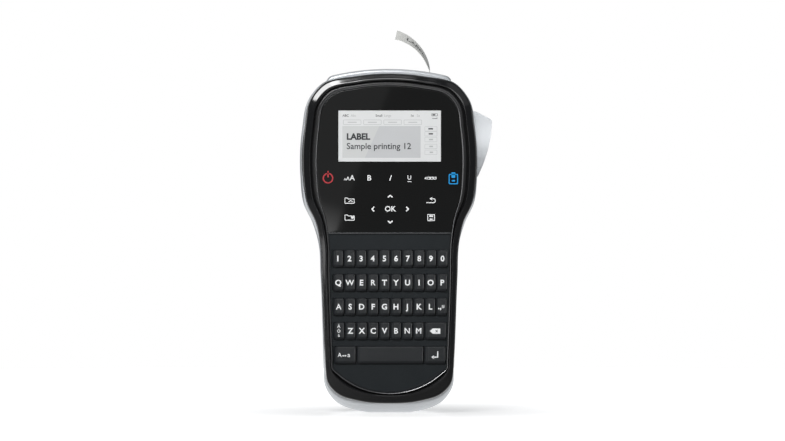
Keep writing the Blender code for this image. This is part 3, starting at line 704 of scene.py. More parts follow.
def key_cap(half_x):
    """A key about its own centre, its top a wedge that rises to the right and upwards."""
    across, up = key_steps(half_x, KEY_LEFT_SLOPE, 6), key_steps(KEY_HALF_HEIGHT, KEY_LOWER_SLOPE, 5)
    mesh = bmesh.new()
    grid = [[mesh.verts.new(Vector((x, KEY_FACE_Y + key_drop(x, z, half_x), z)) * MM) for x in across]
            for z in up]
    for lower, upper in zip(grid, grid[1:]):
        for i in range(len(across) - 1):
            mesh.faces.new((lower[i], lower[i + 1], upper[i + 1], upper[i]))
    border = grid[0] + [row[-1] for row in grid[1:-1]] + grid[-1][::-1] + [row[0] for row in grid[-2:0:-1]]
    base = [mesh.verts.new(Vector((v.co.x, KEY_BOTTOM_Y * MM, v.co.z))) for v in border]
    bridge(mesh, border, base)
    mesh.faces.new(base)
    return outward(mesh)


LEGEND_SIZE = 4.55
CLOSE_STROKES = "ab8mnrw"
ACCENTED = (("Á", 2.7), ("Ö", 0.0), ("à", -2.5))
CAPS_ARROW = ((-1.3, 0.0), (-0.5, 0.55), (-0.5, 0.16), (0.5, 0.16), (0.5, 0.55), (1.3, 0.0), (0.5, -0.55),
              (0.5, -0.16), (-0.5, -0.16), (-0.5, -0.55))
TAG = ((-3.1, 0.0), (-1.4, 1.55), (3.0, 1.55), (3.0, -1.55), (-1.4, -1.55))
ENTER_SHAFT = ((1.7, 2.3), (1.7, -1.1), (-0.7, -1.1))
ENTER_HEAD = ((-2.0, -1.1), (-0.5, 0.0), (-0.5, -2.2))


def cross(centre, arm, half):
    """A diagonal cross as one loop, its arms this long and half this wide."""
    loop = []
    for degrees in (45, 135, 225, 315):
        spin = Matrix.Rotation(math.radians(degrees), 2)
        loop += [spin @ Vector(p) + Vector(centre) for p in ((arm, -half), (arm, half), (half, half))]
    return loop


def legend(mark):
    """The printed marks of a key as (curve, offset from the key's centre)."""
    if len(mark) == 1:
        return [(lettering(mark.upper(), LEGEND_SIZE, 0.018 if mark in CLOSE_STROKES else 0.03), (0.3, 0.0))]
    if mark == "symbol":
        return [(lettering(".,", 4.6, 0.03), (-0.9, 0.2)), (lettering("#", 3.0), (1.1, 0.3))]
    if mark == "accent":
        return [(lettering(letter, 2.5, 0.012), (0.1, z)) for letter, z in ACCENTED]
    if mark == "backspace":
        return [(drawing([TAG, cross((0.9, 0.0), 0.95, 0.18)]), (0.0, 0.0))]
    if mark == "caps":
        return [(lettering("A", 3.5, 0.01), (-2.9, 0.0)), (drawing([CAPS_ARROW]), (-0.2, -0.3)),
                (lettering("a", 3.8, 0.01), (2.4, 0.1))]
    if mark == "enter":
        return [(drawing([stroke(ENTER_SHAFT, 0.62), ENTER_HEAD]), (0.0, 0.0))]
    return []


def keys():
    for node in sum(KEY_ROWS, []):
        low, high = box_mm(node)
        half_x = (high.x - low.x) / 2
        centre = Vector((low.x + high.x, low.z + high.z)) / 2
        mesh = key_cap(half_x)
        bmesh.ops.translate(mesh, verts=mesh.verts, vec=Vector((centre.x, 0.0, centre.y)) * MM)
        piece(f"{node}_cap", mesh, "key", node, replaces=[node])
        for number, (curve, (aside, up)) in enumerate(legend(node.removeprefix("key_"))):
            def dip(x, z, aside=aside, up=up):
                return key_drop(x + aside, z + up, half_x)

            mark = ink_mesh(curve, centre + Vector((aside, up)), KEY_FACE_Y, dip)
            piece(f"{node}_legend" + (f"_{number}" if number else ""), mark, "white_ink", node)


# ---- printed icons and the display ----


def rounded_frame(half_x, half_z, radius, line, centre=(0.0, 0.0)):
    """A rounded rectangular outline: its outer and inner loops."""
    loops = []
    for less, bend in ((0.0, radius), (line, max(radius - line, 0.1))):
        x_range, z_range = ([middle - half + less, middle + half - less]
                            for middle, half in zip(centre, (half_x, half_z)))
        loops.append(rounded_rectangle(x_range, z_range, bend, 4))
    return loops


def printed(name, shape, at, face_y, finish):
    """Loops or lettering printed on a face."""
    curve = drawing(shape) if isinstance(shape, list) else shape
    return piece(name, ink_mesh(curve, at, face_y), finish)


def icon(name, shape, at, finish="white_ink"):
    printed(f"icon_{name}", shape, at, DISPLAY_Y, finish)


ICON_TOP_Z, ICON_UPPER_Z, ICON_MIDDLE_Z, ICON_LOWER_Z = 136.2, 123.2, 118.3, 113.4
ICON_LINE = 0.42
SIZE_LETTERS = ((2.0, -25.9), (3.1, -24.2), (4.3, -21.7))
FOLDER = ((-2.9, -1.75), (-2.9, 1.75), (-1.2, 1.75), (-0.7, 1.15), (2.9, 1.15), (2.9, -1.75))
FOLDER_WAVE = ((-0.6, -0.5), (0.6, 0.3), (1.9, -0.4))
DISK_WINDOWS = (((-1.1, 1.1), (0.35, 1.35)), ((-0.9, 0.9), (-1.35, -0.55)))
UNDO_HEAD = ((-0.9, 1.1), (0.6, 2.1), (0.6, 0.1))
BANNER_HEAD = ((-3.5, 0.0), (-2.2, 0.85), (-2.2, -0.85))
CHEVRON = ((-1.35, -0.6), (0.0, 0.6), (1.35, -0.6))
CHEVRONS = (("up", 0, (0.3, 7.4)), ("left", 90, (-9.6, 0.0)), ("right", -90, (10.2, 0.0)),
            ("down", 180, (0.3, -7.4)))


def printed_icons():
    """The printed marks of the sealed function pads, in their rows under the display."""
    power, underline, print_at = (Vector((x, ICON_TOP_Z)) for x in (-35.7, 11.4, 36.9))
    icon("power", [circle((0.0, 0.0), 3.1), circle((0.0, 0.0), 2.35)], power, "red_ink")
    icon("power_stem", [rounded_rectangle((-0.36, 0.36), (0.4, 4.2), 0.3, 3)], power, "red_ink")
    for number, (size, x) in enumerate(SIZE_LETTERS):
        icon(f"size_{number}", lettering("A", size, 0.008), (x, ICON_TOP_Z - 1.35 + size * 0.34))
    icon("bold", lettering("B", 4.5, 0.012), (-11.9, ICON_TOP_Z))
    icon("italic", lettering("I", 4.3, 0.012, slant=0.35), (0.0, ICON_TOP_Z))
    icon("underline", lettering("U", 3.5, 0.01), underline + Vector((0.0, 0.25)))
    icon("underline_bar", [rounded_rectangle((-1.2, 1.2), (-2.15, -1.8), 0.1, 2)], underline)
    frames = [loop for x in (-0.9, 0.9, 2.7) for loop in rounded_frame(0.85, 0.75, 0.2, 0.36, (x, 0.0))]
    icon("banner", [BANNER_HEAD, *frames], (23.5, ICON_TOP_Z))
    icon("print", rounded_frame(2.7, 3.0, 0.7, 0.55, (0.0, -0.5)), print_at, "blue_ink")
    icon("print_label", [rounded_rectangle((-1.1, 1.1), (0.2, 3.4), 0.4, 3)], print_at, "blue_ink")
    icon("print_key", [rounded_rectangle((-0.9, 0.9), (-1.9, -1.0), 0.2, 3)], print_at, "blue_ink")
    folder = rounded_corners(FOLDER, 0.5, 3)
    folder = [folder, inset(folder, ICON_LINE)]
    icon("open", folder, (-23.2, ICON_UPPER_Z))
    icon("open_wave", [stroke(FOLDER_WAVE, ICON_LINE)], (-23.2, ICON_UPPER_Z - 0.2))
    icon("insert", folder, (-23.2, ICON_LOWER_Z))
    icon("insert_badge", [circle((0.0, 0.0), 0.85, 20)], (-21.6, ICON_LOWER_Z + 0.2))
    path = [(-2.8, -1.2), (1.3, -1.2), *arc((1.3, -0.05), 1.15, -90, 90, 12), (0.3, 1.1)]
    icon("undo", [stroke(path, 0.5)], (24.0, ICON_UPPER_Z))
    icon("undo_head", [UNDO_HEAD], (24.0, ICON_UPPER_Z))
    windows = [rounded_rectangle(*ranges, 0.15, 3) for ranges in DISK_WINDOWS]
    icon("save", [*rounded_frame(2.15, 2.0, 0.3, ICON_LINE), *windows], (24.0, ICON_LOWER_Z))
    for name, turn, (x, z) in CHEVRONS:
        spin = Matrix.Rotation(math.radians(turn), 2)
        icon(name, [stroke([spin @ Vector(p) for p in CHEVRON], 0.72)], (x, ICON_MIDDLE_Z + z))
    icon("ok", lettering("OK", 4.3, 0.02), (0.3, ICON_MIDDLE_Z))


ZONE_X, ZONE_Z = (-27.4, 17.9), (148.0, 166.4)
# x of the slanted edge of the painted reflection on the grey zone, at the zone's bottom and top
PAINTED_REFLECTION_EDGE_X = (-14.4, -6.0)
# Name, words, weight and height of the two lines, then words and place of the status line above them
LCD_LINES = (("first_line", "LABEL", 0.045, 160.1), ("second_line", "Sample printing 12", 0.012, 154.6))
LCD_STATUS = (("ABC", -25.5), ("Abc", -21.0), ("Small", -6.2), ("Large", -1.2), ("1x", 13.0), ("2x", 16.6))
LCD_STATUS_Z = 172.4
LCD_TAB_X, LCD_TAB_Z, LCD_TAB_PITCH = -21.7, 168.6, 11.7
LCD_BATTERY, LCD_CABLE = (26.0, 172.9), (26.0, 170.8)
LCD_SIDE_X = 23.9
LCD_SIDE_Z = (164.8, 161.9, 158.6, 154.6, 151.2)


def display():
    """The liquid-crystal display: its carrier, its pale face, what it shows and a painted reflection on its
    grey zone.
    """
    face_x, face_z = LCD_HALF
    window = rounded_rectangle((-face_x, face_x), (LCD_CENTRE_Z - face_z, LCD_CENTRE_Z + face_z), 0.3, 3)
    piece("lcd_pane", rounded_prism(window, (LCD_FACE_Y, -17.6), 0.08, 2), "lcd_white",
          replaces=["lcd_module"])
    low, high = box_mm("lcd_module")
    carrier = rounded_rectangle((low.x, high.x), (low.z, high.z), 1.5, 4)
    piece("lcd_carrier", rounded_prism(carrier, (-17.9, high.y), 0.3, 2), "chip")

    def show(name, shape, at, finish, y=LCD_FACE_Y):
        printed(f"lcd_{name}", shape, at, y, finish)

    show("zone", [rounded_rectangle(ZONE_X, ZONE_Z, 0.3, 3)], (0.0, 0.0), "lcd_zone")
    layer = LCD_FACE_Y - INK
    (left, _), (bottom, top), split = ZONE_X, ZONE_Z, PAINTED_REFLECTION_EDGE_X
    # The lighter patch left of the slanted edge is a painted reflection, not something the display shows.
    light = [(left, top), (split[1], top), (split[0], bottom), (left, bottom)]
    show("zone_light", [light], (0.0, 0.0), "lcd_zone_light", layer + INK / 2)
    for name, words, weight, z in LCD_LINES:
        curve = lettering(words, 5.0, weight)
        curve.align_x = "LEFT"
        show(name, curve, (-25.0, z), "lcd_dark", layer)
    for number in range(4):
        centre = (LCD_TAB_X + LCD_TAB_PITCH * number, LCD_TAB_Z)
        show(f"tab_{number}", rounded_frame(5.2, 1.45, 0.5, 0.22), centre, "lcd_faint")
        line = rounded_rectangle((-2.6, 2.6), (-0.22, 0.22), 0.1, 2)
        show(f"tab_{number}_line", [line], centre, "lcd_faint")
    for number, (words, x) in enumerate(LCD_STATUS):
        finish = "lcd_faint" if number % 2 else "lcd_dark"
        show(f"status_{number}", lettering(words, 1.9, 0.01), (x, LCD_STATUS_Z), finish)
    show("battery", rounded_frame(1.8, 0.75, 0.2, 0.2), LCD_BATTERY, "lcd_dark")
    show("battery_level", [rounded_rectangle((-1.2, 0.4), (-0.38, 0.38), 0.1, 2)], LCD_BATTERY, "lcd_dark")
    cable = [stroke([(-1.4, 0.0), (1.4, 0.0)], 0.24), circle((1.4, 0.0), 0.42, 12)]
    show("cable", cable, LCD_CABLE, "lcd_dark")
    for number, z in enumerate(LCD_SIDE_Z):
        show(f"side_{number}", rounded_frame(3.6, 1.35, 0.3, 0.16), (LCD_SIDE_X, z), "lcd_faint")
        mark = rounded_rectangle((-1.5 + number * 0.2, 1.2), (-0.4, 0.4), 0.15, 2)
        show(f"side_{number}_mark", [mark], (LCD_SIDE_X, z), "lcd_dark" if number < 2 else "lcd_faint")


# ---- back, covers and sockets ----


BULGE_SHARE = 0.12
SIDE_SHARES = (0.45, 0.80)
BACK_ROUND = 8.0


def rear_rows():
    """The rear shell, loop by loop: a soft bulge from the parting line, straight sides, a round back."""
    casing, shell = outline(FRONT), outline(REAR)
    rows = []
    for degrees in (0, 20, 40, 60, 75, 90):
        turn = math.radians(degrees)
        bulged = [a.lerp(b, math.sin(turn)) for a, b in zip(casing, shell)]
        rows.append((BULGE_SHARE * (1 - math.cos(turn)), bulged))
    rows += [(share, shell) for share in SIDE_SHARES]
    straight = SIDE_SHARES[-1]
    for degrees in range(15, 91, 15):
        turn = math.radians(degrees)
        round_loop = shrunk(shell, BACK_ROUND * (1 - math.cos(turn)))
        rows.append((straight + (1 - straight) * math.sin(turn), round_loop))
    start = PARTING_Y + PARTING_GAP / 2
    return [at_depth(loop, lambda z, share=share: start + (back_y(z) - start) * share)
            for share, loop in rows]


CROWN_HALF_WIDTH = 36.0
CROWN_TOP_Z = 199.9
CROWN_RADIUS = 144.0
CROWN_Y = (-9.4, 22.0)
CROWN_BASE_Z = 188.0
CROWN_ROUND = 1.8


def crown():
    """The raised block round the label exit, with a curved top and round edges."""
    steps = 48
    top = []
    for i in range(steps + 1):
        x = CROWN_HALF_WIDTH * (2 * i / steps - 1)
        top.append(Vector((x, CROWN_TOP_Z - CROWN_RADIUS + math.sqrt(CROWN_RADIUS**2 - x**2))))
    corners = [top[0] + Vector((1.4, 0.05)), top[0] - Vector((0.0, 1.4))]
    loop = [corners[1], corners[0]] + top[2:-2] + [Vector((-p.x, p.y)) for p in corners]
    base = [Vector((side * CROWN_HALF_WIDTH, CROWN_BASE_Z)) for side in (1, -1)]
    return rounded_prism(loop + base, CROWN_Y, CROWN_ROUND, 5)


def battery_plate(grow, outer, inner, steps=30):
    """A plate that follows the back of the handle, from inner to outer depth off its surface."""
    low, high = box_mm("battery_cover")
    half = high.x + grow
    bottom, top = low.z - grow, high.z + grow
    heights = [bottom + (top - bottom) * i / steps for i in range(steps + 1)]
    right = [Vector((half, z)) for z in reversed(heights)]
    loop = right + [Vector((-p.x, p.y)) for p in reversed(right)]
    mesh = bmesh.new()
    layers = []
    for offset in (inner, outer):
        layers.append(add_loop(mesh, at_depth(loop, lambda z, offset=offset: back_y(z) + offset)))
    bridge(mesh, *layers)
    count = len(loop)
    for layer in layers:
        for i in range(steps):
            mesh.faces.new((layer[i], layer[i + 1], layer[count - 2 - i], layer[count - 1 - i]))
    return outward(mesh)


BAY_SPLIT_Z = (101.0, 104.0)
HEAD_BAY_Y = (25.0, 29.4)
BAY_MIDDLE = Vector((0.0, 150.0))
BAY_NARROWING = 4.0 / 45.0
HANDLE_BAY_Y = 13.2
COVER_THICKNESS = 2.0
COVER_LEDGE = 1.5
COVER_INSET = 9.0
COVER_BOTTOM_Z = 108.0
SCREW_PLACES = ((-24.0, 98.5), (24.0, 98.5))
SCREW_DEPTH = 4.0
SCREW_RADIUS, WELL_RADIUS = 2.9, 3.4
NOTCH = (49.9, 150.0)
LEVER_PIVOT = (45.5, 137.5)
LEVER_Y = (-4.0, 18.0)
LEVER_SLOT_Z = (135.2, 177.8)
EXIT_SLOT_Y = (4.9, 18.1)


def rear_shell():
    shell = outline(REAR)
    made = piece("rear_shell", loft(rear_rows(), paired_caps=True), "silver",
                 replaces=["rear_housing"])
    combine(made, "UNION", crown())
    inner = inset(shell, WALL + 0.2)
    head = keep_side(inner, BAY_SPLIT_Z[1], above=True)
    handle = keep_side(inner, BAY_SPLIT_Z[0], above=False)
    front_space = prism(inset(outline(FRONT), WALL), (PARTING_Y - 2.0, DECK_Y[0]))
    narrowed = [p.lerp(BAY_MIDDLE, BAY_NARROWING) for p in head]
    bay = loft([at_depth(head, DECK_Y[1]), at_depth(head, HEAD_BAY_Y[0]), at_depth(narrowed, HEAD_BAY_Y[1])])
    carve(made, front_space, bay, prism(handle, (DECK_Y[1], HANDLE_BAY_Y)))

    def cover_loop(grow):
        return keep_side(inset(shell, COVER_INSET - grow, BEND_REACH), COVER_BOTTOM_Z - grow, above=True)

    recess_y = (HEAD_BACK_Y - COVER_THICKNESS - CROSS_GAP, HEAD_BACK_Y + 3.0)
    ledge_y = (HEAD_BAY_Y[1] - 2.0, recess_y[0] + 1.0)
    carve(made, prism(cover_loop(CROSS_GAP), recess_y), prism(cover_loop(-COVER_LEDGE), ledge_y))
    low, high = box_mm("battery_cover")
    opening_x = (low.x + COVER_LEDGE, high.x - COVER_LEDGE)
    opening_z = (low.z + COVER_LEDGE, high.z - COVER_LEDGE)
    opening = box(opening_x, (HANDLE_BAY_Y - 1.0, 40.0), opening_z)
    carve(made, battery_plate(CROSS_GAP, 5.0, -COVER_THICKNESS - CROSS_GAP), opening)

    low, high = box_mm("label_tape")
    exit_slot = box((high.x - 1.0, high.x + 0.7), EXIT_SLOT_Y, (188.0, 205.0))
    lever_slot = box((38.5, 60.0), (LEVER_Y[0] - 0.5, LEVER_Y[1] + 0.5), LEVER_SLOT_Z)
    notch = prism(circle(NOTCH, 9.0), (HEAD_BACK_Y - 1.6, HEAD_BACK_Y + 5.0))
    carve(made, notch, exit_slot, lever_slot)
    wells = []
    for x, z in SCREW_PLACES:
        depths = (back_y(z) - SCREW_DEPTH, back_y(z) + 8.0)
        wells.append(prism(circle((x, z), WELL_RADIUS), depths))
    carve(made, *wells)


def pocket(loop, face_y, depth):
    """A cutter for a pocket of that depth in a face towards the back."""
    return prism(loop, (face_y - depth, face_y + 1.0))


def screw(name, place):
    """A cross-head screw at the bottom of its well."""
    x, z = place
    seat = back_y(z) - SCREW_DEPTH
    head = rounded_prism(circle(place, SCREW_RADIUS), (seat - 0.4, seat + 1.5), 0.5, 4)
    made = piece(name, head, "dark_metal")
    for half_x, half_z in ((1.7, 0.36), (0.36, 1.7)):
        groove = box((x - half_x, x + half_x), (seat + 0.6, seat + 3.0), (z - half_z, z + half_z))
        carve(made, groove)


def cassette_door():
    edge = keep_side(inset(outline(REAR), COVER_INSET, BEND_REACH), COVER_BOTTOM_Z, above=True)
    low, high = box_mm("cassette_cover")
    made = piece("cassette_door", rounded_prism(edge, (low.y, high.y), 0.35, 3), "silver",
                 "cassette_cover", replaces=["cassette_cover"])
    label = rounded_rectangle((-24.0, 24.0), (126.0, 158.0), 2.5)
    carve(made, pocket(label, high.y, 0.35))
    grips = []
    for i in range(5):
        x = high.x - 7.5 + 1.3 * i
        bar = rounded_rectangle((x - 0.35, x + 0.35), (143.0, 157.0), 0.35, 3)
        grips.append(pocket(bar, high.y, 0.4))
    carve(made, *grips)
    sheet = rounded_rectangle((-23.4, 23.4), (126.6, 157.4), 2.0)
    piece("blank_label", rounded_prism(sheet, (high.y - 0.35, high.y - 0.2), 0.03, 1), "paper",
          "cassette_cover")


def battery_door():
    made = piece("battery_door", battery_plate(0.0, 0.0, -COVER_THICKNESS), "silver", "battery_cover",
                 replaces=["battery_cover"])
    round_edges(made, 0.3, 2, 60)
    grips = []
    for i in range(6):
        z = 72.0 + 2.2 * i
        bar = rounded_rectangle((-9.0 + i * 0.9, 9.0 - i * 0.9), (z - 0.5, z + 0.5), 0.5, 3)
        grips.append(prism(bar, (back_y(z) - 0.7, back_y(z) + 1.5)))
    carve(made, *grips)


def usb_sleeve():
    """The socket's metal sleeve in the notch of the left side."""
    left = box_mm("main_board")[0].x - 0.05
    centre = Vector((-11.98, USB_Z))
    corners = ((-1.47, -4.1), (1.47, -4.1), (1.47, 4.1), (-1.47, 4.1))
    outer = rounded_corners([centre + Vector(p) for p in corners], 0.6)
    inner = [centre + Vector(((p.x - centre.x) * 0.72, (p.y - centre.y) * 0.90)) for p in outer]
    sides = ((outer, left + 5.5), (outer, left), (inner, left), (inner, left + 5.5))
    piece("usb_sleeve", tube([[Vector((x, p.x, p.y)) for p in loop] for loop, x in sides]), "steel")


# ---- cutter, label and the inside ----


LEVER_PROFILE = ((46.5, 175.7), (50.2, 175.7), (59.4, 171.0), (60.3, 169.6), (59.6, 161.0), (57.7, 152.5),
                 (55.2, 144.8), (52.4, 138.2), (51.6, 136.8))
LEVER_ARM = ((37.0, 186.6), (39.0, 186.6), (46.8, 175.5), (48.0, 168.0), (46.4, 168.0), (37.0, 184.0))
DOME_RADIUS = 190.0
DOME_CENTRE = (LEVER_Y[0] + DOME_RADIUS, 139.0)


def lever_handle():
    """The cutter's button with its curved face, its arm and its pivot."""
    x = LEVER_PIVOT[0]
    under = ((x + 2.0, 136.0), (x - 2.2, 136.0), (x - 2.6, 138.0), (46.5, 146.0))
    button = rounded_corners(LEVER_PROFILE + under, 1.6, 4)
    made = piece("lever_button", rounded_prism(button, LEVER_Y, 0.9, 4), "lever", "cutter_lever",
                 replaces=["cutter_lever"])
    dome = circle(DOME_CENTRE, DOME_RADIUS, 240)
    combine(made, "INTERSECT", loft([[Vector((side, p.x, p.y)) for p in dome] for side in (40.0, 70.0)]))
    round_edges(made, 0.5, 3, 50)
    stubs = prism(circle(LEVER_PIVOT, 1.8, 24), (LEVER_Y[0] - 3.0, LEVER_Y[1] + 3.0))
    combine(made, "UNION", rounded_prism(rounded_corners(LEVER_ARM, 0.8), (6.0, 17.0), 0.3, 2), stubs)


TAPE = {"x": 24.4, "y": 11.5, "width": 12.0, "thickness": 0.3, "inner": 156.0, "straight_top": 192.0,
        "exit": 197.6, "curl": 27.0, "heading": (97.0, 165.0), "twist": 28.0, "power": 0.7}
TAPE_STEPS = 40
TAPE_TEXT_SHARE = 0.57
CURL_LENGTH = TAPE["curl"] * math.radians(TAPE["heading"][1] - TAPE["heading"][0])


def tape_point(share, across, lift=0.0):
    """A point of the label: share of the curled part, across its width, lifted off its outer face."""
    start, end = (math.radians(angle) for angle in TAPE["heading"])
    heading = start + (end - start) * share
    x = TAPE["x"] + TAPE["curl"] * (math.sin(heading) - math.sin(start))
    z = TAPE["exit"] - TAPE["curl"] * (math.cos(heading) - math.cos(start))
    twist = math.radians(TAPE["twist"]) * share ** TAPE["power"]
    along = Vector((math.cos(heading), 0.0, math.sin(heading)))
    away = Vector((math.sin(heading), 0.0, -math.cos(heading)))
    side = Vector((0.0, math.cos(twist), 0.0)) + away * math.sin(twist)
    face = side.cross(along)
    if face.dot(away) < 0:
        face = -face
    return Vector((x, TAPE["y"], z)) + side * across + face * lift


def label_strip():
    """The printed label as a thin strip, and lettering that follows its curl."""
    half_width, half = TAPE["width"] / 2, TAPE["thickness"] / 2
    corners = [(across * half_width, lift * half) for across, lift in ((-1, 1), (-1, -1), (1, -1), (1, 1))]
    rows = []
    for z in (TAPE["inner"], TAPE["straight_top"]):
        rows.append([Vector((TAPE["x"] + lift, TAPE["y"] + across, z)) for across, lift in corners])
    for i in range(TAPE_STEPS + 1):
        rows.append([tape_point(i / TAPE_STEPS, *corner) for corner in corners])
    piece("label_strip", loft(rows), "tape", "label_tape", replaces=["label_tape"])

    mesh = ink_mesh(lettering("LABEL", 5.4, 0.01), (0.0, 0.0), 0.0)
    refine(mesh, 0.8)
    for vert in mesh.verts:
        along, lift, across = (value / MM for value in vert.co)
        vert.co = tape_point(TAPE_TEXT_SHARE - along / CURL_LENGTH, across, half - lift) * MM
    piece("label_text", outward(mesh), "tape_ink", "label_tape")


def ring_mesh(centre, outer, inner, y_range):
    """A washer or tube round a point of the front plane."""
    low, high = y_range
    sides = ((outer, low), (outer, high), (inner, high), (inner, low))
    return tube([at_depth(circle(centre, radius, 40), y) for radius, y in sides])


def cassette():
    """The tape cassette: its case with a grip, a window on each spool, and the wound tape and ribbon."""
    low, high = box_mm("tape_cassette")
    loop = rounded_rectangle((low.x, high.x), (low.z, high.z), 5.0)
    made = piece("cassette_case", rounded_prism(loop, (low.y, high.y), 0.8, 3), "cassette",
                 replaces=["tape_cassette"])
    spools = (((low.x + 22.0, low.z + 22.0), 15.0, 6.0, 6, "paper"),
              ((low.x + 30.0, high.z - 18.0), 10.5, 4.0, 4, "chip"))
    for number, (centre, outer, hub, turns, finish) in enumerate(spools):
        carve(made, pocket(circle(centre, outer), high.y, 2.6), pocket(circle(centre, hub), high.y, 8.0))
        for turn in range(turns):
            radius = hub + 0.6 + (outer - hub - 1.0) * (turn + 1) / turns
            winding = ring_mesh(centre, radius, radius - 1.1, (high.y - 3.4, high.y - 1.4))
            piece(f"spool_{number}_turn_{turn}", winding, finish)
        core = ring_mesh(centre, hub - 0.15, hub - 1.5, (high.y - 7.5, high.y - 0.6))
        piece(f"spool_{number}_hub", core, "window")
    seam = rounded_rectangle((-19.0, 8.0), (170.0, 180.0), 1.5)
    carve(made, pocket(seam, high.y, 0.4))


def battery():
    """The battery pack in its wrap, with its two contacts and a blank label."""
    low, high = box_mm("battery_pack")
    loop = rounded_rectangle((low.x, high.x), (low.z, high.z), 4.0)
    piece("battery_body", rounded_prism(loop, (low.y, high.y), 2.2, 6), "wrap",
          replaces=["battery_pack"])
    sheet = rounded_rectangle((-17.0, 17.0), (30.0, 66.0), 1.5)
    piece("battery_label", rounded_prism(sheet, (high.y - 0.05, high.y + 0.12), 0.03, 1), "paper")
    for number, (sign, x) in enumerate((("+", -12.0), ("-", 12.0))):
        mesh = ink_mesh(lettering(sign, 9.0, 0.02), (x, 58.0), 0.0)
        for vert in mesh.verts:
            vert.co.y = (high.y + 0.12) * MM - vert.co.y
        piece(f"battery_sign_{number}", outward(mesh), "tape_ink")
        contact = rounded_rectangle((x - 3.0, x + 3.0), (high.z - 9.0, high.z - 5.0), 0.6)
        piece(f"battery_contact_{number}", rounded_prism(contact, (high.y - 0.1, high.y + 0.25), 0.05, 1),
              "gold")


CARRIED_OVER = (("main_board", "board"), ("keypad_mat", "rubber"), ("platen_roller", "rubber"),
                ("motor_pinion", "brass"), ("drive_motor", "steel"), ("print_head", "steel"),
                ("cutter_blade", "steel"))


def carried_over():
    """Better finishes for the nodes whose shape is kept."""
    for node, finish in CARRIED_OVER:
        data = frame["nodes"][node].data
        data.materials.clear()
        data.materials.append(FINISHES[finish])


# ---- floor, light and camera ----


CENTRE = Vector((1.7, -20.0, 111.7))
CAMERA_DISTANCE = 3000.0
CAMERA_TURN = math.radians(1.4)
FIELD_WIDTH = 455.0
SENSOR = 36.0
CLIP_M = (0.1, 20.0)
WHITE = (1.0, 1.0, 1.0, 1.0)

# The floor and the lights are in metres and watts.
FLOOR_RADIUS = 0.9
FLOOR_SEEN, FLOOR_REFLECTED = (0.82, 0.82, 0.82, 1.0), (0.15, 0.15, 0.15, 1.0)
FLOOR_FADE = {"From_Min": 0.05, "From_Max": 0.22, "To_Min": 0.45, "To_Max": 1.0}
FRONT_FADE = {"From_Min": -0.030, "From_Max": -0.020, "To_Min": 0.04, "To_Max": 0.9}
HEAD = (0.0, 0.0, 0.14)
SHOULDERS = (0.0, 0.0, 0.18)
# Name, place, the point it faces, size, power and the turn about its own axis in degrees
SOFTBOXES = (
    ("upper_left", (-0.404, -0.958, 0.779), SHOULDERS, (0.64, 0.28), 9.5, 34.0),
    ("upper_centre", (-0.08, -0.97, 0.88), SHOULDERS, (0.45, 0.26), 1.6, 8.0),
    ("upper_right", (0.55, -0.85, 0.65), HEAD, (0.5, 0.5), 0.25, 0.0),
    ("front_high", (0.25, -1.20, 0.46), HEAD, (0.6, 0.22), 1.0, 0.0),
    ("front_low", (0.0, -3.60, -0.50), HEAD, (1.2, 0.8), 2.2, 0.0),
    ("left_strip", (-0.95, -0.16, 0.14), HEAD, (0.16, 0.5), 2.6, 0.0),
    ("left_front", (-0.80, -0.78, 0.14), HEAD, (0.10, 0.5), 0.35, 0.0),
    ("right_strip", (0.95, -0.35, 0.10), HEAD, (0.20, 0.6), 1.4, 0.0),
    ("top_strip", (0.05, -0.40, 1.15), HEAD, (0.6, 0.25), 0.6, 0.0),
    ("overhead", (0.0, 0.30, 1.1), HEAD, (0.9, 0.5), 1.2, 0.0),
    ("back_left", (-0.8, 1.0, 0.55), HEAD, (0.6, 0.6), 1.3, 0.0),
    ("back_right", (0.8, 0.9, 0.45), HEAD, (0.5, 0.7), 0.6, 0.0),
)
CARD_PLACE = (-0.184, -3.623, 0.274)
CARD = ("slanted_card", CARD_PLACE, (CARD_PLACE[0], 0.0, CARD_PLACE[2]), (0.5, 0.9), 4.7, -20.5)
CARD_FADE = {"From_Min": 0.29, "From_Max": 0.43, "To_Min": 1.25, "To_Max": 0.045}
WORLD_TINT = (0.9, 0.95, 1.0, 1.0)


def stage_floor():
    """A small pale disc that brightens towards its edge, where it meets the white behind it.

    Reflections see it lit under and behind the object and dim in front, which keeps the rim black.
    """
    mesh = bmesh.new()
    bmesh.ops.create_circle(mesh, cap_ends=True, segments=128, radius=FLOOR_RADIUS)
    floor = linked("floor", mesh)
    pale, tree = blank_material("floor_white")
    reflected = add(tree, "BsdfPrincipled", Base_Color=FLOOR_REFLECTED, Emission_Color=WHITE)
    seen = add(tree, "BsdfPrincipled", Base_Color=FLOOR_SEEN, Emission_Color=WHITE, Roughness=0.3)
    place, length, split = add(tree, "TexCoord"), add(tree, "VectorMath"), add(tree, "SeparateXYZ")
    length.operation = "LENGTH"
    fade, front = add(tree, "MapRange", **FLOOR_FADE), add(tree, "MapRange", **FRONT_FADE)
    choice = add(tree, "MixShader")
    join(tree, ((place, "Object"), (length, 0)), ((length, "Value"), (fade, "Value")),
         ((place, "Object"), (split, 0)), ((split, "Y"), (front, "Value")),
         ((fade, "Result"), (seen, "Emission Strength")),
         ((front, "Result"), (reflected, "Emission Strength")),
         ((add(tree, "LightPath"), "Is Camera Ray"), (choice, 0)), ((reflected, "BSDF"), (choice, 1)),
         ((seen, "BSDF"), (choice, 2)), ((choice, 0), (tree.nodes["Material Output"], "Surface")))
    floor.data.materials.append(pale)


def aim(made, place, target, roll=0.0):
    """Places a camera or a lamp, facing a point and turned about its own axis."""
    facing = (Vector(target) - Vector(place)).to_track_quat("-Z", "Y")
    made.location = place
    made.rotation_mode = "QUATERNION"
    made.rotation_quaternion = facing @ Matrix.Rotation(math.radians(roll), 3, "Z").to_quaternion()


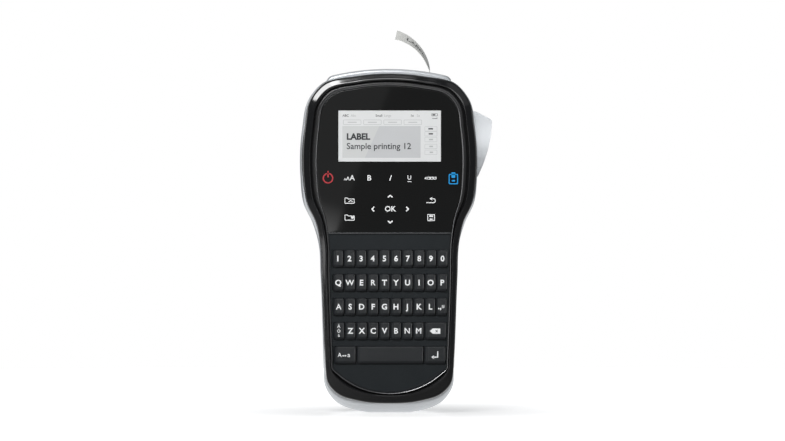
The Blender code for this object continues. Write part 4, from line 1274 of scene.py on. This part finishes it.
def softbox(name, place, target, size, power, roll):
    """A rectangular area light aimed at a point."""
    data = bpy.data.lights.new(name, "AREA")
    data.shape = "RECTANGLE"
    data.size, data.size_y = size
    data.energy = power
    aim(linked(name, data), place, target, roll)
    return data


def lights():
    """Soft boxes above and beside, and a card far in front whose slanted edge crosses the glossy panel."""
    for row in SOFTBOXES:
        softbox(*row)
    card = softbox(*CARD)
    card.use_nodes = True
    tree = card.node_tree
    split, fade = add(tree, "SeparateXYZ"), add(tree, "MapRange", **CARD_FADE)
    join(tree, ((add(tree, "NewGeometry"), "Parametric"), (split, 0)), ((split, "Y"), (fade, "Value")),
         ((fade, "Result"), (tree.nodes["Emission"], "Strength")))


def world():
    """White where the camera sees it, and a dim even light on the object."""
    made = bpy.data.worlds.new("studio")
    bpy.context.scene.world = made
    made.use_nodes = True
    tree = made.node_tree
    tree.nodes.clear()
    dim = add(tree, "Background", Color=WORLD_TINT, Strength=0.14)
    white = add(tree, "Background", Color=WHITE)
    choice = add(tree, "MixShader")
    join(tree, ((add(tree, "LightPath"), "Is Camera Ray"), (choice, 0)), ((dim, 0), (choice, 1)),
         ((white, 0), (choice, 2)), ((choice, 0), (add(tree, "OutputWorld"), "Surface")))


def camera():
    data = bpy.data.cameras.new("camera")
    made = linked("camera", data)
    offset = Vector((-math.sin(CAMERA_TURN), -math.cos(CAMERA_TURN), 0.0)) * CAMERA_DISTANCE
    aim(made, (CENTRE + offset) * MM, CENTRE * MM)
    data.sensor_width = SENSOR
    data.lens = SENSOR * CAMERA_DISTANCE / FIELD_WIDTH
    data.clip_start, data.clip_end = CLIP_M
    bpy.context.scene.camera = made
    bpy.context.scene.view_settings.view_transform = "Standard"


# ---- the whole scene ----


def main():
    front_casing()
    panels()
    keys()
    printed_icons()
    display()
    rear_shell()
    for number, place in enumerate(SCREW_PLACES):
        screw(f"screw_{number}", place)
    cassette_door()
    battery_door()
    usb_sleeve()
    lever_handle()
    label_strip()
    cassette()
    battery()
    carried_over()
    stage_floor()
    world()
    lights()
    camera()


main()
